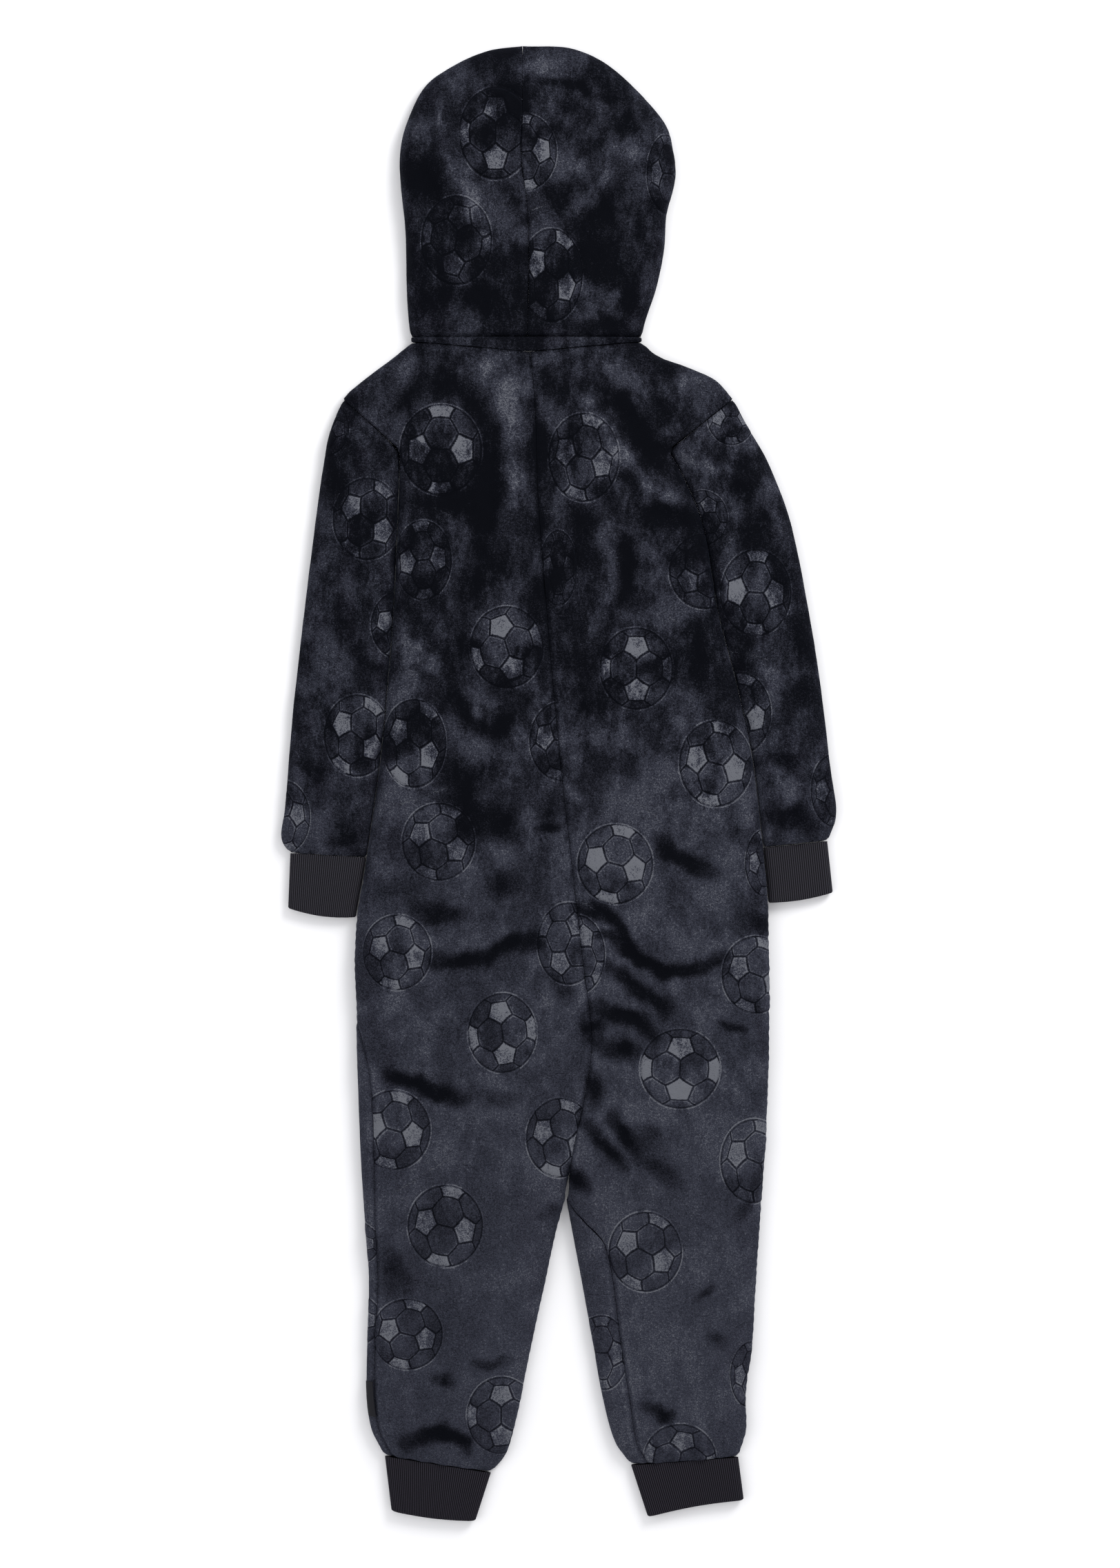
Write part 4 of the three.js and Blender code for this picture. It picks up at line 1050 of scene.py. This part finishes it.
def trunk_piece(name, panel, step, columns):
    """One back or front half of the trunk and its leg."""
    piece_name = f"{panel}_{name}"
    half = TRUNK[name]
    levels = trunk_levels(step)
    form = trunk_form(half, levels)
    level = levels[:, None]
    outer_seam, inner_seam = seam_shares(name, form, level)
    gap = np.where(form.looped, inner_gap(level), SEAM / 2)
    if panel == "back":
        first = inner_seam + gap / form.top_run
        last = outer_seam - SEAM / 2 / form.top_run
    else:
        zip_reach = (ZIP_WIDTH / 2 + SEAM / 2) * fade(*ZIP_FADE, level)
        first = outer_seam + SEAM / 2 / form.under_run
        last = 2 + inner_seam - gap / form.under_run - np.where(form.looped, 0, zip_reach / form.under_run)
    shares, from_first, from_last = spaced(form, first, last, columns)
    laid = lay(form, shares)
    x, y = laid.at[..., 0], laid.at[..., 1]
    relief, local = surface(piece_name, form, laid, 3)
    beside_sleeve = mix(0.1, 1, fade(SLEEVE_END, SLEEVE_END - 30, level))
    outer, inner = (from_last, from_first) if panel == "back" else (from_first, from_last)
    relief += seam_relief(outer, y) * beside_sleeve + seam_relief(inner, y)
    relief += seam_relief(NECK - level, x, 0.9) + seam_relief(level - LEG_END, x, 1.6, 2.0)
    slanted = fade(CROTCH + 4, CROTCH - 4, level) * fade(CROTCH - 42, CROTCH - 34, level)
    seams = [outer, inner + 9 * slanted, np.broadcast_to(NECK - level, x.shape) + 0.8]
    piece = fleece_piece(piece_name, laid, relief, local, pile_tone_and_painted_light("trunk", x, y, seams))
    lay_out(form, (from_first + from_last)[:, 0])


# Sleeves and cuffs

def beside_trunk(name, y, gap):
    """X just outside the trunk's edge."""
    half = TRUNK[name]
    return read_at(half["edge"], np.minimum(y, UNDERARM)) + half["side"] * gap


def sleeve_piece(name):
    piece_name = f"sleeve_{name}"
    rows = 301
    v = np.linspace(0, 1, rows)
    a, b = line_through(SLEEVE[name]["inner"], v), line_through(SLEEVE[name]["outer"], v)
    a[:, 0] = beside_trunk(name, a[:, 1], BESIDE)
    loft = read_at(SLEEVE_LOFT, (a[:, 1] + b[:, 1]) / 2)[:, None]

    def height(x, y, across):
        gathers = 1.1 * np.cos(across * np.pi * 7) * fade(0.86, 0.98, v[:, None])
        return loft * (1 - 0.12 * (2 * across - 1) ** 2) + fold_height("sleeve", x, y) + gathers

    form = section(a, b, height)
    shares, _, _ = spaced(form, np.zeros((rows, 1)), np.full((rows, 1), 2.0), 112, True)
    laid = lay(form, shares, True)
    x, y = laid.at[..., 0], laid.at[..., 1]
    relief, local = surface(piece_name, form, laid, 11)
    run = v[:, None] * np.linalg.norm(np.diff(b, axis=0), axis=1).sum()
    relief += seam_relief(run, x) + seam_relief(run[-1] - run, x, 1.6, 2.0)
    pile = pile_tone_and_painted_light("sleeve", x, y, [np.broadcast_to(run, x.shape)])
    piece = fleece_piece(piece_name, laid, relief, local, pile)
    lay_out(form, form.top_run + form.under_run)


def cuff_piece(node, material):
    start, end, sag = CUFFS[node]
    rows = 41
    v = np.linspace(0, 1, rows)
    from_a, from_b, to_a, to_b = (np.array(p, float) for p in start + end)
    a, b = mix(from_a, to_a, v[:, None]), mix(from_b, to_b, v[:, None])
    if node.startswith("sleeve"):
        a[:, 0] = beside_trunk(node.split("_")[-1], a[:, 1], BESIDE + 0.6)

    def bend(x, y):
        share = (x - a[:, :1]) / (b[:, :1] - a[:, :1])
        return -sag * v[:, None] * np.sin(np.pi * np.clip(share, 0, 1))

    def height(x, y, across):
        return np.full(np.shape(x), CUFF_LOFT)

    form = section(a, b, height, lip=CUFF_LIP, turn=CUFF_TURN, bend=bend)
    ribs = round(float(form.top_run[0, 0] + form.under_run[0, 0]) / RIB_PITCH)
    per_rib = 6
    columns = math.ceil(ribs * per_rib / COARSER) * COARSER
    shares, _, _ = spaced(form, np.zeros((rows, 1)), np.full((rows, 1), 2.0), columns, True)
    laid = lay(form, shares, True)
    count = np.arange(columns)[None, :] / per_rib
    wave = 0.5 - 0.5 * np.cos(2 * np.pi * count)
    length = float(np.linalg.norm(to_a - from_a))
    from_end = (1 - v[:, None]) * length
    rounding = -1.1 * (1 - np.sqrt(np.clip(1 - (1 - np.clip(from_end / 1.6, 0, 1)) ** 2, 0, 1)))
    relief = np.where(laid.over, 0.62 * wave ** 0.8, 0.25 * (wave - 1)) + rounding
    stitches = v[:, None] * length / 1.3
    # The third number is each place's height on its rib, which the knit's material turns into painted shade
    # in the hollows
    rib = np.stack(np.broadcast_arrays(count, stitches, wave), axis=-1)
    piece = add_piece(f"knit_{node}", wall_mesh(node, laid, relief, RIB, {"rib": rib}), material, node)
    lay_out(form, form.top_run + form.under_run)


# Hood and neck band

TUCK_DEPTH = 3.9  # more than the band's wall, which it dips under
TUCK_REACH = 1.4
TUCK_LENGTH = 3.2


def hood_piece(name):
    piece_name = f"hood_{name}"
    half = HOOD[name]
    rows = 221
    v = np.linspace(0, 1, rows)
    apart = np.array([TRUNK[name]["side"] * SEAM / 2, 0])
    a, b, c = (line_through(points, v) + apart for points in (HOOD_SEAM, half["outline"], half["opening"]))

    def height(x, y, across):
        return read_at(HOOD_LOFT, y) * (1 - 0.1 * across ** 2) + fold_height("hood", x, y)

    form = section(a, b, height, c=c, turned_a=0.0)
    shares, from_first, _ = spaced(form, np.zeros((rows, 1)), np.full((rows, 1), 2.0), 125)
    laid = lay(form, shares)
    # The halves meet at the crown, so the wall's edge there faces straight along the seam
    laid.out[-1, :, 0] = 0
    laid.out /= np.maximum(np.linalg.norm(laid.out, axis=-1, keepdims=True), 1e-9)
    # Its lower edge dips under the neck band, and at the sides it only meets the band
    tuck = fade(TUCK_LENGTH, 0, laid.at[..., 1] - NECK - NECK_BAND) * np.minimum(2 * edge_calm(laid, form), 1)
    laid.at -= TUCK_DEPTH * tuck[..., None] * laid.out
    laid.at[..., 1] -= TUCK_REACH * fade(0.8, 1, tuck)
    x, y = laid.at[..., 0], laid.at[..., 1]
    relief, local = surface(piece_name, form, laid, 5)
    relief += seam_relief(from_first, y) + seam_relief(y - NECK - NECK_BAND, x, 0.9)
    relief *= fade(1.0, 0.985, v[:, None])
    piece = fleece_piece(piece_name, laid, relief, local, pile_tone_and_painted_light("hood", x, y, [from_first]))
    lay_out(form, from_first[:, -1])


def neck_band():
    centre = float(read_at(CENTRE, NECK))
    left, right = TRUNK["left"]["shoulder"][0][1], TRUNK["right"]["shoulder"][0][1]
    rows = 17
    v = np.linspace(0, 1, rows)
    y = mix(NECK + REST, NECK + NECK_BAND - REST, v)
    a = np.stack([np.full(rows, float(left)), y], axis=-1)
    b = np.stack([np.full(rows, float(right)), y], axis=-1)

    def bend(x, y_at):
        share = np.where(x < centre, (x - left) / (centre - left), (right - x) / (right - centre))
        return -(1 - v[:, None]) * NECK_DIP * share

    def height(x, y_at, across):
        body = read_at(TRUNK_LOFT, NECK) * (1 - 0.14 * (2 * across - 1) ** 2)
        return body + 0.8 * np.sin(np.pi * v[:, None])

    form = section(a, b, height, bend=bend)
    middle = (centre - left) / form.width
    reach = (ZIP_WIDTH / 2 + SEAM) / form.under_run
    shares, from_first, _ = spaced(form, -(middle - reach), 2 - middle - reach, 241)
    laid = lay(form, shares)
    x, y = laid.at[..., 0], laid.at[..., 1]
    rounding = -0.9 * (1 - np.sin(np.pi * v[:, None])) ** 2
    relief = rounding + 0.2 * ripple(x, y, 6, 21)
    _, local = balls_on("neck_band", x, y, laid.over)
    piece = fleece_piece("neck_band", laid, relief, local, pile_tone_and_painted_light("band", x, y))
    lay_out(form, from_first[:, -1])


# Stage

FLOOR_REACH = 6.0  # metres from the middle to each side
FLOOR_DROP = 0.0002  # metres, so that the flat undersides don't share the floor's plane
PICTURE_MIDDLE = (0.62, -0.31)  # where the photograph's middle falls


def area_light(name, place, size, power):
    """A white soft box that faces the middle of the sleepsuit. Place and size are metres."""
    light = bpy.data.lights.new(name, "AREA")
    light.shape = "RECTANGLE"
    light.size, light.size_y = size
    light.energy = power
    lamp = bpy.data.objects.new(name, light)
    bpy.context.scene.collection.objects.link(lamp)
    lamp.location = place
    lamp.rotation_euler = (-Vector(place)).to_track_quat("-Z", "Y").to_euler()


def colour_property(name, description, hex_colour):
    return bpy.props.FloatVectorProperty(
        name=name, description=description, subtype="COLOR", size=4, min=0, max=1, default=linear(hex_colour))


class PlushSettings(bpy.types.PropertyGroup):
    """Colours of the fleece."""
    dark: colour_property("Pile laid away", "Colour where the pile swallows the light", "04050a")
    middle: colour_property("Pile upright", "Colour of the pile as it stands", "1a1b22")
    light: colour_property("Pile brushed", "Colour where brushed pile catches the light", "363842")
    shorn: colour_property("Pile pressed flat", "Colour of the ball's flat patches", "63656b")


class StageSettings(bpy.types.PropertyGroup):
    """The photographer's set."""
    camera_height: bpy.props.FloatProperty(
        name="Camera height", description="Distance from the camera to the floor",
        default=4.0, unit="LENGTH", subtype="DISTANCE")
    frame_height: bpy.props.FloatProperty(
        name="Frame height", description="Length of floor that the picture's long side takes in",
        default=1.40988, unit="LENGTH", subtype="DISTANCE")
    floor: colour_property("Floor", "Colour of the plain floor", "fafafa")


class ONESIE_OT_trunk(bpy.types.Operator):
    """Lay the back and front panels of the trunk and legs"""
    bl_idname = "onesie.trunk"
    bl_label = "Trunk and legs"

    def execute(self, context):
        for name in ("left", "right"):
            trunk_piece(name, "back", 1.8, 149)
            trunk_piece(name, "front", 2.5, 97)
        return {"FINISHED"}


class ONESIE_OT_sleeves(bpy.types.Operator):
    """Lay the two sleeves"""
    bl_idname = "onesie.sleeves"
    bl_label = "Sleeves"

    def execute(self, context):
        for name in ("left", "right"):
            sleeve_piece(name)
        return {"FINISHED"}


class ONESIE_OT_hood(bpy.types.Operator):
    """Lay the hood's halves and the band at the neck"""
    bl_idname = "onesie.hood"
    bl_label = "Hood and neck band"

    def execute(self, context):
        for name in ("left", "right"):
            hood_piece(name)
        neck_band()
        return {"FINISHED"}


class ONESIE_OT_cuffs(bpy.types.Operator):
    """Knit the four cuffs"""
    bl_idname = "onesie.cuffs"
    bl_label = "Cuffs"

    def execute(self, context):
        charcoal = rib_material("cotton_rib_charcoal", linear("1e1d22"), linear("38373d"))
        black = rib_material("cotton_rib_black", linear("1a181e"), linear("302e35"))
        for name in ("left", "right"):
            cuff_piece(f"sleeve_cuff_{name}", charcoal)
            cuff_piece(f"ankle_cuff_{name}", black)
        return {"FINISHED"}


class ONESIE_OT_trims(bpy.types.Operator):
    """Finish the zip, its slider and the side label"""
    bl_idname = "onesie.trims"
    bl_label = "Zip and label"

    def execute(self, context):
        makers = {"front_zip": tape_material, "zip_slider": slider_material, "side_label": label_material}
        for node, maker in makers.items():
            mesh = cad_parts[node].data
            mesh.materials.clear()
            mesh.materials.append(maker())
        return {"FINISHED"}


class ONESIE_OT_stage(bpy.types.Operator):
    """Make the floor, the lights and the camera"""
    bl_idname = "onesie.stage"
    bl_label = "Stage"

    def execute(self, context):
        scene = context.scene
        settings = scene.onesie_stage
        mesh = bpy.data.meshes.new("floor")
        corners = [(x * FLOOR_REACH, y * FLOOR_REACH, 0) for x, y in ((-1, -1), (1, -1), (1, 1), (-1, 1))]
        mesh.from_pydata(corners, [], [(0, 1, 2, 3)])
        floor = bpy.data.objects.new("floor", mesh)
        scene.collection.objects.link(floor)
        floor.location.z = -FLOOR_DROP
        material, _, _ = new_material("matt_paper", settings.floor, Roughness=0.9, Specular_IOR_Level=0.1)
        mesh.materials.append(material)
        world = bpy.data.worlds.new("studio")
        world.use_nodes = True
        world.node_tree.nodes["Background"].inputs["Color"].default_value = linear("fbfbff")
        world.node_tree.nodes["Background"].inputs["Strength"].default_value = 0.8
        scene.world = world
        area_light("key", (1.6, 1.9, 1.8), (1.2, 1.2), 55)
        area_light("fill", (-2.2, -0.6, 2.0), (2.0, 2.0), 16)
        camera_data = bpy.data.cameras.new("camera")
        camera_data.sensor_width = 36.0
        camera_data.lens = camera_data.sensor_width * settings.camera_height / settings.frame_height
        camera = bpy.data.objects.new("camera", camera_data)
        scene.collection.objects.link(camera)
        camera.location = (*(MM * value for value in PICTURE_MIDDLE), settings.camera_height)
        scene.camera = camera
        scene.view_settings.view_transform = "Standard"
        return {"FINISHED"}


class ONESIE_PT_panel(bpy.types.Panel):
    """Lists the sleepsuit's pieces and settings"""
    bl_label = "Onesie"
    bl_idname = "ONESIE_PT_panel"
    bl_space_type = "VIEW_3D"
    bl_region_type = "UI"
    bl_category = "Onesie"

    def draw(self, context):
        for settings in (context.scene.onesie_plush, context.scene.onesie_stage):
            box = self.layout.box()
            for key in settings.__annotations__:
                box.prop(settings, key)
        for operator in OPERATORS:
            self.layout.operator(operator.bl_idname)


SETTINGS = {"onesie_plush": PlushSettings, "onesie_stage": StageSettings}
OPERATORS = (
    ONESIE_OT_stage, ONESIE_OT_trunk, ONESIE_OT_sleeves, ONESIE_OT_hood, ONESIE_OT_cuffs, ONESIE_OT_trims,
)


def register():
    for kind in (*SETTINGS.values(), *OPERATORS, ONESIE_PT_panel):
        bpy.utils.register_class(kind)
    for key, kind in SETTINGS.items():
        setattr(bpy.types.Scene, key, bpy.props.PointerProperty(type=kind))


def unregister():
    for key in SETTINGS:
        delattr(bpy.types.Scene, key)
    for kind in (ONESIE_PT_panel, *reversed(OPERATORS), *SETTINGS.values()):
        bpy.utils.unregister_class(kind)


def main():
    register()
    for operator in OPERATORS:
        group, name = operator.bl_idname.split(".")
        getattr(getattr(bpy.ops, group), name)()


if __name__ == "__main__":
    main()
